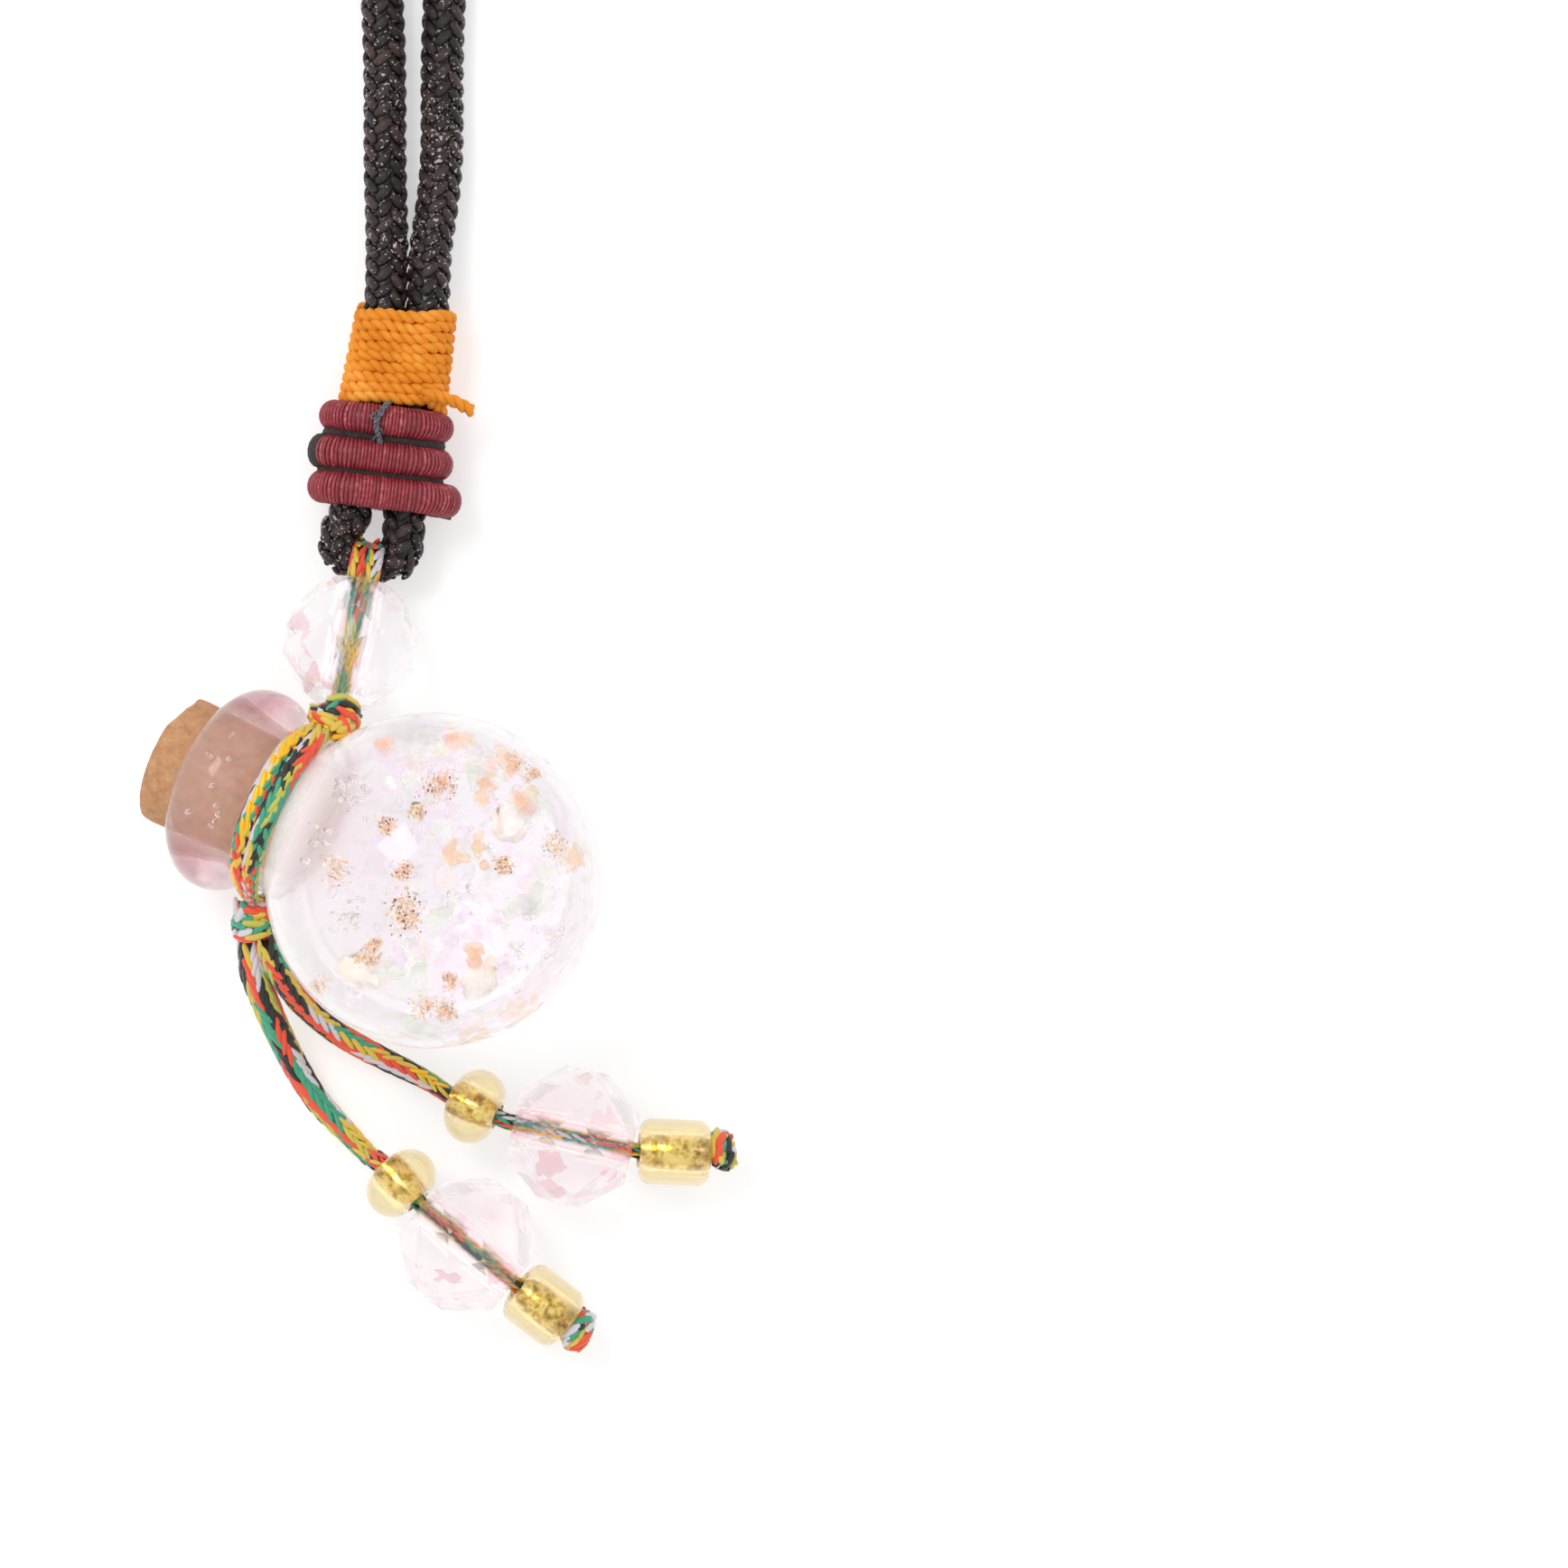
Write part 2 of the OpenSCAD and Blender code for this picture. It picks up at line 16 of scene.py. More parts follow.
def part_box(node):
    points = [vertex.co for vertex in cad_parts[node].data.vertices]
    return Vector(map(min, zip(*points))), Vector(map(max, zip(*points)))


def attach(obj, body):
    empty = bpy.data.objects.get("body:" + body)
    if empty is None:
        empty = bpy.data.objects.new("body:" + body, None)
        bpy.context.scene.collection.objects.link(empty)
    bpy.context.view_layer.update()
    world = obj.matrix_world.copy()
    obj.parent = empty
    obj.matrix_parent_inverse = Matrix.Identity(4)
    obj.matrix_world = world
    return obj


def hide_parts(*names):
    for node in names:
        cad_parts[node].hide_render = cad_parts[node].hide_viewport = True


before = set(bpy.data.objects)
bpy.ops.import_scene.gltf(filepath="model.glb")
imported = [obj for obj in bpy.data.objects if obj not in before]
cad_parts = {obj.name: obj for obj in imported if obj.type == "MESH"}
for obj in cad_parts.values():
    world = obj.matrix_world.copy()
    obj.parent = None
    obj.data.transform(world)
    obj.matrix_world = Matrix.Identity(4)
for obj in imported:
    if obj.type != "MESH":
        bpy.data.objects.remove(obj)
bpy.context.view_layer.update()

MM = 0.001

# %% [markdown]
# ## The camera
# The photograph looks straight down, so its plane is the table's plane and the frame's X and Y are
# the picture's right and up. A long lens from 340 mm keeps the flat look of a product picture.

# %% Camera over the table
EYE = (13.5, 3.7, 340.0)
FOCUS_HEIGHT = 3.0
# The picture shows this much of the width at the focus height
FRAME_WIDTH = 60.955
FILM_WIDTH = 36.0
lens = bpy.data.cameras.new("portrait")
lens.sensor_width = FILM_WIDTH
lens.lens = FILM_WIDTH * (EYE[2] - FOCUS_HEIGHT) / FRAME_WIDTH
lens.clip_start = 0.01
camera = bpy.data.objects.new("portrait", lens)
camera.location = Vector(EYE) * MM
bpy.context.collection.objects.link(camera)
bpy.context.scene.camera = camera
print("lens", round(lens.lens, 1), "mm")

# %% [markdown]
# ## Paths
# Cord and thread follow a few chosen points, joined by a smooth curve that passes through each of
# them. The points are the same as in the solid model, in millimetres. Everything that is braided or
# wound needs more than a line: at each station along the path it needs the direction *along* and one
# direction *across*, carried from station to station with as little twist as can be.

# %% Curves, stations and directions
def unit(v):
    """The same direction, with a length of 1."""
    return np.asarray(v, float) / np.linalg.norm(v)


def heading(yaw, pitch):
    """A direction from its turn in the table's plane and its rise out of it, in degrees."""
    yaw, pitch = math.radians(yaw), math.radians(pitch)
    return np.array([math.cos(pitch) * math.cos(yaw), math.cos(pitch) * math.sin(yaw), math.sin(pitch)])


def smooth(points, steps, closed=False):
    """A curve through all the points, with a few steps between each two."""
    points = np.array(points, float)
    ends = (points[-1:], points[:2]) if closed else (points[:1], points[-1:])
    p = np.vstack([ends[0], points, ends[1]])
    out = []
    for a, b, c, d in zip(p[:-3], p[1:-2], p[2:-1], p[3:]):
        for t in np.arange(steps) / steps:
            out.append(0.5 * (2 * b + (c - a) * t + (2 * a - 5 * b + 4 * c - d) * t**2
                              + (3 * b - a - 3 * c + d) * t**3))
    return np.array(out if closed else out + [points[-1]])


def evenly(path, step, closed=False):
    """Points along a path, one every step."""
    if closed:
        path = np.vstack([path, path[:1]])
    far = np.concatenate([[0], np.cumsum(np.linalg.norm(np.diff(path, axis=0), axis=1))])
    stops = np.linspace(0, far[-1], max(2, round(far[-1] / step)) + 1)
    return np.column_stack([np.interp(stops, far, path[:, k]) for k in range(3)])


def directions(path, up=(0, 0, 1)):
    """The unit vectors along a path and across it."""
    along = np.gradient(path, axis=0)
    along /= np.linalg.norm(along, axis=1)[:, None]
    across = [unit(np.cross(up, along[0]))]
    for t in along[1:]:
        across.append(unit(across[-1] - across[-1] @ t * t))
    return along, np.array(across)


def stations(path, along, across, girth=None):
    """A chain of vertices that carries its directions as attributes."""
    mesh = bpy.data.meshes.new("stations")
    mesh.from_pydata((path * MM).tolist(), [(i, i + 1) for i in range(len(path) - 1)], [])
    for name, values in (("along", along), ("across", across)):
        mesh.attributes.new(name, "FLOAT_VECTOR", "POINT").data.foreach_set(
            "vector", values.astype(np.float32).ravel())
    girth = np.ones(len(path)) if girth is None else girth
    mesh.attributes.new("girth", "FLOAT", "POINT").data.foreach_set("value", girth.astype(np.float32))
    return mesh


print("a quarter circle in 4 steps:", len(smooth([(1, 0, 0), (0.7, 0.7, 0), (0, 1, 0)], 2)), "points")

# %% [markdown]
# ## One helper for nodes
# Both shaders and geometry trees are built by one small function that adds a node, sets its
# settings, and links or fills its inputs. A node given as an input stands for its first output,
# which keeps the lines short. Colours are written as the sRGB hex values that a paint picker shows,
# and one function turns them to the linear values that the renderer works in.

# %% Node and colour helpers
def first_output(value):
    """A node's first output. Anything else stays as it is."""
    return value.outputs[0] if isinstance(value, bpy.types.Node) else value


def add(tree, kind, inputs=None, **settings):
    """Adds a node. An input given as a socket or a node is linked, and any other is set."""
    node = tree.nodes.new(kind)
    for name, value in settings.items():
        setattr(node, name, value)
    for key, value in (inputs or {}).items():
        value = first_output(value)
        if isinstance(value, bpy.types.NodeSocket):
            tree.links.new(value, node.inputs[key])
        else:
            node.inputs[key].default_value = value
    return node


def srgb(code):
    """The linear colour of a hex value, with an alpha of 1."""
    parts = [int(code[i:i + 2], 16) / 255 for i in (1, 3, 5)]
    return [c / 12.92 if c <= 0.04045 else ((c + 0.055) / 1.055) ** 2.4 for c in parts] + [1.0]


def ramp(tree, factor, stops, interpolation="LINEAR"):
    """A colour ramp from a list of (place, hex) stops."""
    node = add(tree, "ShaderNodeValToRGB", {"Fac": factor})
    node.color_ramp.interpolation = interpolation
    while len(node.color_ramp.elements) < len(stops):
        node.color_ramp.elements.new(0.5)
    for element, (place, code) in zip(node.color_ramp.elements, stops):
        element.position = place
        element.color = srgb(code)
    return node.outputs["Color"]


def material(name, settings):
    """A material whose Principled shader has these inputs, with its tree and its shader."""
    made = bpy.data.materials.new(name)
    made.use_nodes = True
    shader = made.node_tree.nodes["Principled BSDF"]
    for key, value in settings.items():
        shader.inputs[key].default_value = value
    print("material:", name)
    return made, made.node_tree, shader


def feed(shader, links):
    """Links what a tree worked out to the inputs of its shader."""
    for key, value in links.items():
        shader.id_data.links.new(first_output(value), shader.inputs[key])


print("orange in linear light:", [round(c, 3) for c in srgb("#f0a030")[:3]])

# %% [markdown]
# ## Braided polyester cord
# Necklace cord of this kind is a tube of eight columns of polyester yarn over a core. Each yarn
# shows as a short plump lobe that leans left in one column and right in the next, so the columns
# meet in V shapes 0.67 mm apart. Filament polyester is smooth, so the dark cord glitters a little,
# and light grey specks in its colour add painted glints. The colour changes slightly from lobe to
# lobe, and fine filaments run along each one.

# %% Material: dark braided polyester
def filaments(tree, shader, stretch, fineness, strength, depth, dull, shiny):
    """Fine filaments along each lobe, as a bump and as a change from dull to shiny."""
    lobe = add(tree, "ShaderNodeAttribute", attribute_name="lobe").outputs["Vector"]
    stretched = add(tree, "ShaderNodeMapping", {"Vector": lobe, "Scale": (stretch, 9.0, 9.0)})
    streaks = add(tree, "ShaderNodeTexNoise", {"Vector": stretched, "Scale": fineness, "Detail": 3.0})
    bumped = add(tree, "ShaderNodeBump", {"Height": streaks, "Strength": strength, "Distance": depth * MM})
    glint = add(tree, "ShaderNodeMapRange", {"Value": streaks, "From Min": 0.35, "From Max": 0.65,
                                             "To Min": dull, "To Max": shiny})
    feed(shader, {"Normal": bumped, "Roughness": glint})


cord_mat, tree, shader = material("braided polyester, dark brown", {"Specular IOR Level": 0.4})
tint = add(tree, "ShaderNodeAttribute", attribute_name="tint").outputs["Fac"]
# The last stop, near black, is the core's: painted shade in the gaps between lobes
dark_brown = ramp(tree, tint, [(0, "#191210"), (0.5, "#281d1b"), (0.8, "#382a27"), (0.97, "#402b27"),
                               (1, "#0d0807")])
# A lobe is 1 unit wide before it is scaled, so about twelve filaments lie side by side, 0.04 mm apart
filaments(tree, shader, stretch=1.2, fineness=1.4, strength=0.9, depth=0.05, dull=0.5, shiny=0.14)
# Painted glints: here and there light grey spots of about 0.1 mm, in patches, stand for filaments that turn
# their shiny side to the lamp
where = add(tree, "ShaderNodeTexCoord").outputs["Object"]
glint_specks = add(tree, "ShaderNodeTexNoise", {"Vector": where, "Scale": 1 / (0.13 * MM), "Detail": 1.0})
patches = add(tree, "ShaderNodeTexNoise", {"Vector": where, "Scale": 1 / (2.5 * MM), "Detail": 0.0})
limit = add(tree, "ShaderNodeMath", {0: patches, 1: -0.2, 2: 0.782}, operation="MULTIPLY_ADD")
painted_glint = add(tree, "ShaderNodeMath", {0: glint_specks, 1: limit}, operation="GREATER_THAN")
with_painted_glints = add(tree, "ShaderNodeMix", {"Factor": painted_glint, "A": dark_brown, "B": srgb("#b9ada8")},
              data_type="RGBA")
feed(shader, {"Base Color": with_painted_glints.outputs["Result"]})

# %% [markdown]
# ## A tree of nodes that braids
# A braid repeats one lobe along and round a path, which is what Geometry Nodes are for. Each station
# is doubled into one point per column, every second column moves on by half a row, and each point
# gets a lobe that leans to one side or the other. A tube inside closes the gaps, and its dark colour
# is painted shade in them. Colours run in streaks of a few rows, as the coloured yarns do, so a
# random number is drawn for each streak.

# %% Geometry tree: braid
def open_tree(name, inputs):
    """A new geometry tree with named inputs. Each is (socket kind, default)."""
    made = bpy.data.node_groups.new(name, "GeometryNodeTree")
    made.interface.new_socket("Geometry", in_out="INPUT", socket_type="NodeSocketGeometry")
    for label, (kind, default) in inputs.items():
        socket = made.interface.new_socket(label, in_out="INPUT", socket_type="NodeSocket" + kind)
        if default is not None:
            socket.default_value = default
    made.interface.new_socket("Geometry", in_out="OUTPUT", socket_type="NodeSocketGeometry")
    return made, add(made, "NodeGroupInput").outputs


def close_tree(tree, geometry, finish):
    """Makes the instances real, sets the material and ends the tree."""
    real = add(tree, "GeometryNodeRealizeInstances", {"Geometry": geometry}).outputs["Geometry"]
    done = add(tree, "GeometryNodeSetMaterial", {"Geometry": real, "Material": finish})
    add(tree, "NodeGroupOutput", {"Geometry": done.outputs["Geometry"]})


def read_stations(tree, *names):
    """What the stations carry, by name."""
    return [add(tree, "GeometryNodeInputNamedAttribute", {"Name": name},
                data_type="FLOAT" if name == "girth" else "FLOAT_VECTOR") for name in names]


braid_tree, given = open_tree("braid", {
    "Columns": ("Int", 8), "Radius": ("Float", 0.7 * MM), "Flatness": ("Float", 0.0),
    "Row pitch": ("Float", 0.67 * MM), "Lobe length": ("Float", 0.9 * MM),
    "Lobe width": ("Float", 0.45 * MM), "Lobe height": ("Float", 0.3 * MM), "Lean": ("Float", 0.7),
    "Sides": ("Int", 8), "Rings": ("Int", 6), "Core radius": ("Float", 0.62 * MM),
    "Streak rows": ("Float", 1.0), "Seed": ("Int", 1), "Material": ("Material", None)})
t = braid_tree
along, across, girth = read_stations(t, "along", "across", "girth")
index = add(t, "GeometryNodeInputIndex")
rows = add(t, "GeometryNodeStoreNamedAttribute", {"Geometry": given["Geometry"], "Name": "row",
                                                  "Value": index}, data_type="INT", domain="POINT")
row = add(t, "GeometryNodeInputNamedAttribute", {"Name": "row"}, data_type="INT")
spread = add(t, "GeometryNodeDuplicateElements", {"Geometry": rows, "Amount": given["Columns"]},
             domain="POINT")
column = spread.outputs["Duplicate Index"]
parity = add(t, "ShaderNodeMath", {0: column, 1: 2.0}, operation="MODULO")
# Each column points outward at its own angle, and in a flat thread its rise is cut down
share = add(t, "ShaderNodeMath", {0: column, 1: given["Columns"]}, operation="DIVIDE")
angle = add(t, "ShaderNodeMath", {0: share, 1: math.tau}, operation="MULTIPLY")
outward = add(t, "ShaderNodeVectorRotate", {"Vector": across, "Axis": along, "Angle": angle},
              rotation_type="AXIS_ANGLE")
rise_dir = add(t, "ShaderNodeVectorMath", {0: along, 1: across}, operation="CROSS_PRODUCT")
rise = add(t, "ShaderNodeVectorMath", {0: outward, 1: rise_dir}, operation="DOT_PRODUCT").outputs["Value"]
drop = add(t, "ShaderNodeMath", {0: rise, 1: given["Flatness"]}, operation="MULTIPLY")
dropped = add(t, "ShaderNodeVectorMath", {0: rise_dir, "Scale": drop}, operation="SCALE")
ring = add(t, "ShaderNodeVectorMath", {0: outward, 1: dropped}, operation="SUBTRACT")
reach = add(t, "ShaderNodeMath", {0: given["Radius"], 1: girth}, operation="MULTIPLY")
offset = add(t, "ShaderNodeVectorMath", {0: ring, "Scale": reach}, operation="SCALE")
# Every second column moves on by half a row
half_row = add(t, "ShaderNodeMath", {0: given["Row pitch"], 1: 0.5}, operation="MULTIPLY")
ahead = add(t, "ShaderNodeMath", {0: parity, 1: half_row}, operation="MULTIPLY")
shift = add(t, "ShaderNodeVectorMath", {0: along, "Scale": ahead}, operation="SCALE")
move = add(t, "ShaderNodeVectorMath", {0: offset, 1: shift}, operation="ADD")
placed = add(t, "GeometryNodeSetPosition", {"Geometry": spread.outputs["Geometry"], "Offset": move})
# The lobe lies along the path and leans to one side or the other, no two quite alike
facing = add(t, "FunctionNodeAxesToRotation", {"Primary Axis": outward, "Secondary Axis": along},
             primary_axis="Z", secondary_axis="X")
side = add(t, "ShaderNodeMath", {0: parity, 1: 2.0, 2: -1.0}, operation="MULTIPLY_ADD")
stray = add(t, "FunctionNodeRandomValue", {2: -0.13, 3: 0.13, "Seed": given["Seed"]},
            data_type="FLOAT").outputs[1]
lean = add(t, "ShaderNodeMath", {0: side, 1: given["Lean"], 2: stray}, operation="MULTIPLY_ADD")
twist = add(t, "ShaderNodeCombineXYZ", {"Z": lean})
turned = add(t, "FunctionNodeRotateRotation", {"Rotation": facing, "Rotate By": twist},
             rotation_space="LOCAL")
# Each lobe keeps its own coordinates, for the filaments
ball = add(t, "GeometryNodeMeshUVSphere", {"Radius": 0.5, "Segments": given["Sides"],
                                           "Rings": given["Rings"]})
laid = add(t, "GeometryNodeTransform", {"Geometry": ball, "Rotation": (0, math.pi / 2, 0)})
place = add(t, "GeometryNodeInputPosition")
marked = add(t, "GeometryNodeStoreNamedAttribute", {"Geometry": laid, "Name": "lobe", "Value": place},
             data_type="FLOAT_VECTOR", domain="POINT")
size = add(t, "ShaderNodeCombineXYZ", {"X": given["Lobe length"], "Y": given["Lobe width"],
                                       "Z": given["Lobe height"]})
shaped = add(t, "GeometryNodeTransform", {"Geometry": marked, "Scale": size})
soft = add(t, "GeometryNodeSetShadeSmooth", {"Geometry": shaped})
lobes = add(t, "GeometryNodeInstanceOnPoints", {"Points": placed, "Instance": soft, "Rotation": turned,
                                                "Scale": girth})
# One draw for each streak of a column picks its colour
drift = add(t, "ShaderNodeMath", {0: column, 1: 1.7, 2: row}, operation="MULTIPLY_ADD")
streak = add(t, "ShaderNodeMath", {0: drift, 1: given["Streak rows"]}, operation="DIVIDE")
floor = add(t, "ShaderNodeMath", {0: streak}, operation="FLOOR")
ticket = add(t, "ShaderNodeMath", {0: floor, 1: 16.0, 2: column}, operation="MULTIPLY_ADD")
draw = add(t, "FunctionNodeRandomValue", {2: 0.0, 3: 0.96, "ID": ticket, "Seed": given["Seed"]},
           data_type="FLOAT").outputs[1]
tinted = add(t, "GeometryNodeStoreNamedAttribute", {"Geometry": lobes, "Name": "tint", "Value": draw},
             data_type="FLOAT", domain="INSTANCE")
# The core's tint is 1, the dark end of the ramps, so the gaps between lobes show dark: painted shade
line = add(t, "GeometryNodeMeshToCurve", {"Mesh": given["Geometry"]})
circle = add(t, "GeometryNodeCurvePrimitiveCircle", {"Resolution": 10, "Radius": given["Core radius"]})
core = add(t, "GeometryNodeCurveToMesh", {"Curve": line, "Profile Curve": circle, "Scale": girth,
                                          "Fill Caps": True})
dark = add(t, "GeometryNodeStoreNamedAttribute", {"Geometry": core, "Name": "tint", "Value": 1.0},
           data_type="FLOAT", domain="POINT")
both = add(t, "GeometryNodeJoinGeometry", {"Geometry": tinted})
t.links.new(dark.outputs[0], both.inputs[0])
close_tree(t, both, given["Material"])
print("braid tree:", len(t.nodes), "nodes")

# %% [markdown]
# ## From tree to plain mesh
# A piece is kept as a plain mesh, because moving parts and the export need one. So the tree runs
# once as a modifier, its result is copied out, and the modifier goes. The modifier's inputs are
# found by the names given above and set by their identifiers.

# %% Running a tree
def grow(name, source, tree, sizes, finish):
    """Runs a geometry tree on a mesh and keeps the plain result as a piece of the pendant."""
    piece = bpy.data.objects.new(name, source)
    bpy.context.collection.objects.link(piece)
    modifier = piece.modifiers.new("grow", "NODES")
    modifier.node_group = tree
    values = dict(sizes, Material=finish)
    for item in tree.interface.items_tree:
        if item.in_out == "INPUT" and item.name in values:
            modifier[item.identifier] = values[item.name]
    deps = bpy.context.evaluated_depsgraph_get()
    result = bpy.data.meshes.new_from_object(piece.evaluated_get(deps), preserve_all_data_layers=True,
                                             depsgraph=deps)
    piece.modifiers.clear()
    piece.data = result
    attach(piece, "pendant")
    print(name, len(result.polygons), "faces")
    return piece


# %% [markdown]
# ## The necklace cord
# The cord is one closed loop of 700 mm. It comes down on the left, bends round under the windings,
# and goes up again on the right. The stretch near the pendant gets round lobes, and the long rest of
# the loop gets simpler ones of the same size. Where the thread hangs, it squeezes the cord.

# %% Route of the necklace cord
CORD_R = 0.81
BUNDLE_Z = 1.97
# Under the windings, from the lowest up: x, y, and the strands' distance from x in cord radii
BUNDLE = [(-2.28, 15.02, 1.24), (-2.20, 16.42, 1.14), (-2.00, 17.82, 1.06), (-1.72, 18.75, 1.04),
          (-1.24, 22.05, 1.03)]
# The bend at the foot, from left to right: x, y, and the depth under the bundle's height
BEND = [(-3.42, 14.2, 0), (-3.8, 13.5, 0.05), (-3.86, 13.0, 0.1), (-3.68, 12.55, 0.1),
        (-3.3, 12.25, 0.1), (-2.8, 12.13, 0.1), (-2.3, 12.1, 0.1), (-1.85, 12.22, 0.1),
        (-1.5, 12.55, 0.1), (-1.38, 13.0, 0.1), (-1.34, 13.5, 0.05), (-1.3, 14.2, 0)]
# The long loop, up on the right and down on the left: x, y, and the height over the table
LOOP = [(-0.3, 24.5, 0.6), (0.1, 28, 0.15), (0.2, 34, 0.02), (1, 46, 0), (4, 64, 0), (13, 86, 0),
        (28, 108, 0), (44, 130, 0), (60, 152, 0), (74, 176, 0), (82, 202, 0), (82, 228, 0),
        (73, 252, 0), (56, 270, 0), (35, 281, 0), (12, 286, 0), (-14, 286, 0), (-37, 281, 0),
        (-58, 270, 0), (-75, 252, 0), (-84, 228, 0), (-84, 202, 0), (-76, 176, 0), (-62, 152, 0),
        (-46, 130, 0), (-30, 108, 0), (-15, 86, 0), (-6, 64, 0), (-3, 46, 0), (-2.2, 34, 0.02),
        (-2.1, 28, 0.15), (-2.0, 24.5, 0.6)]
# The thread hangs at the bend's sixth point, and squeezes the cord there
HANG_X, HANG_Y, HANG_DEPTH = BEND[5]
HANG_AT = np.array([HANG_X, HANG_Y, BUNDLE_Z - HANG_DEPTH])
SQUEEZE, SQUEEZE_REACH = 0.52, 0.8
ROW = 0.67
cord_points = ([(x, y, BUNDLE_Z - low) for x, y, low in BEND]
               + [(x + wide * CORD_R, y, BUNDLE_Z) for x, y, wide in BUNDLE]
               + [(x, y, CORD_R + high) for x, y, high in LOOP]
               + [(x - wide * CORD_R, y, BUNDLE_Z) for x, y, wide in reversed(BUNDLE)])
cord_path = evenly(smooth(cord_points, 8, closed=True), ROW, closed=True)
cord_along, cord_across = directions(cord_path)
from_hang = np.linalg.norm(cord_path - HANG_AT, axis=1)
cord_girth = 1 - SQUEEZE * np.exp(-(from_hang / SQUEEZE_REACH) ** 2)
print("cord:", round(len(cord_path) * ROW), "mm in", len(cord_path), "rows")

# %% Braid the cord
# The path starts at the bend's left end. The far stretch shares a row with the near one at each end
ROWS_BEFORE, ROWS_AFTER = 52, 64
count = len(cord_path)
near = np.r_[count - ROWS_BEFORE:count, 0:ROWS_AFTER]
far = np.arange(ROWS_AFTER - 1, count - ROWS_BEFORE + 1)
cord_sizes = {"Columns": 8, "Radius": 0.7 * MM, "Row pitch": ROW * MM, "Lobe length": 0.86 * MM,
              "Lobe width": 0.46 * MM, "Lobe height": 0.32 * MM, "Lean": 0.74, "Core radius": 0.68 * MM,
              "Streak rows": 1.0, "Seed": 3}
for name, part, sides, rings in (("cord_near", near, 8, 6), ("cord_far", far, 5, 3)):
    source = stations(cord_path[part], cord_along[part], cord_across[part], cord_girth[part])
    piece = grow(name, source, braid_tree, dict(cord_sizes, Sides=sides, Rings=rings), cord_mat)
    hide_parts("necklace_cord")

# %% [markdown]
# ## The orange yarn
# Acrylic yarn, spun from two plies, is wound nine and a half times round both strands. Each ply
# shows as a slanting bulge, so the winding looks like rows of rice grains. A second tree twists two
# tubes round each other along a path. The yarn runs as a flat spiral: straight over the strands, and
# round at their sides. Its end is left loose at the lower right.

# %% Material: acrylic yarn
def spotted(tree, grain, detail, stops, **more):
    """Soft spots of colour, as wide as the grain in millimetres, and the noise that makes them."""
    where = add(tree, "ShaderNodeTexCoord").outputs["Object"]
    spots = add(tree, "ShaderNodeTexNoise", {"Vector": where, "Scale": 1 / (grain * MM),
                                             "Detail": detail, **more})
    return ramp(tree, spots, stops), spots


yarn_mat, tree, shader = material("spun acrylic yarn, orange", {
    "Roughness": 0.75, "Specular IOR Level": 0.3, "Sheen Weight": 0.2, "Sheen Roughness": 0.5,
    "Sheen Tint": srgb("#ffc060")})
blotches, _ = spotted(tree, grain=1.2, detail=2.0, stops=[(0.3, "#d87f14"), (0.5, "#e79126"),
                                                          (0.7, "#f0a542")])
# Spun fibres are about 0.03 mm thick. They are drawn three times as coarse, so that they show
where = add(tree, "ShaderNodeTexCoord").outputs["Object"]
fibres = add(tree, "ShaderNodeTexNoise", {"Vector": where, "Scale": 1 / (0.09 * MM), "Detail": 3.0})
bumped = add(tree, "ShaderNodeBump", {"Height": fibres, "Strength": 0.6, "Distance": 0.03 * MM})
feed(shader, {"Base Color": blotches, "Normal": bumped})

# %% Geometry tree: twisted yarn
yarn_tree, given = open_tree("twisted yarn", {
    "Turns per station": ("Float", 0.1), "Ply offset": ("Float", 0.1 * MM),
    "Ply radius": ("Float", 0.12 * MM), "Material": ("Material", None)})
t = yarn_tree
along, across = read_stations(t, "along", "across")
index = add(t, "GeometryNodeInputIndex")
turns = add(t, "ShaderNodeMath", {0: index, 1: given["Turns per station"]}, operation="MULTIPLY")
circle = add(t, "GeometryNodeCurvePrimitiveCircle", {"Resolution": 7, "Radius": given["Ply radius"]})
plies = add(t, "GeometryNodeJoinGeometry")
for ply in range(2):
    phase = add(t, "ShaderNodeMath", {0: turns, 1: ply / 2}, operation="ADD")
    angle = add(t, "ShaderNodeMath", {0: phase, 1: math.tau}, operation="MULTIPLY")
    outward = add(t, "ShaderNodeVectorRotate", {"Vector": across, "Axis": along, "Angle": angle},
                  rotation_type="AXIS_ANGLE")
    move = add(t, "ShaderNodeVectorMath", {0: outward, "Scale": given["Ply offset"]}, operation="SCALE")
    moved = add(t, "GeometryNodeSetPosition", {"Geometry": given["Geometry"], "Offset": move})
    line = add(t, "GeometryNodeMeshToCurve", {"Mesh": moved})
    tube = add(t, "GeometryNodeCurveToMesh", {"Curve": line, "Profile Curve": circle, "Fill Caps": True})
    soft = add(t, "GeometryNodeSetShadeSmooth", {"Geometry": tube})
    t.links.new(soft.outputs[0], plies.inputs[0])
close_tree(t, plies, given["Material"])
print("yarn tree:", len(t.nodes), "nodes")

# %% Wind the yarn
def around_strands(middle, first, last, axis, reach, turns, rise, start=0.0, steps=40, loose=0.0):
    """A path round both strands: half circles at the sides, straight runs between them."""
    wide = unit(np.cross(axis, (0, 0, 1)))
    high = np.cross(wide, axis)
    count = int(turns * steps)
    out = []
    for k in range(count + 1):
        spread = first + (last - first) * k / count
        flat, bow = 2 * spread, math.pi * reach
        s = (start + k / steps) % 1 * 2 * (flat + bow)
        if s < flat:
            x, z = s - spread, reach
        elif s < flat + bow:
            a = (s - flat) / reach
            x, z = spread + reach * math.sin(a), reach * math.cos(a)
        elif s < 2 * flat + bow:
            x, z = spread - (s - flat - bow), -reach
        else:
            a = (s - 2 * flat - bow) / reach
            x, z = -spread - reach * math.sin(a), -reach * math.cos(a)
        # Loose turns stray a little along the cord, and the last ones sag in their middle
        stray = loose * noise.noise(Vector((x, z, k / steps * 1.3)) * 0.9)
        sag = loose * max(0, 1 - (x - 0.3) ** 2) * k / count
        out.append(middle + x * wide + z * high + rise * k / steps + axis * (stray - sag))
    return np.array(out)


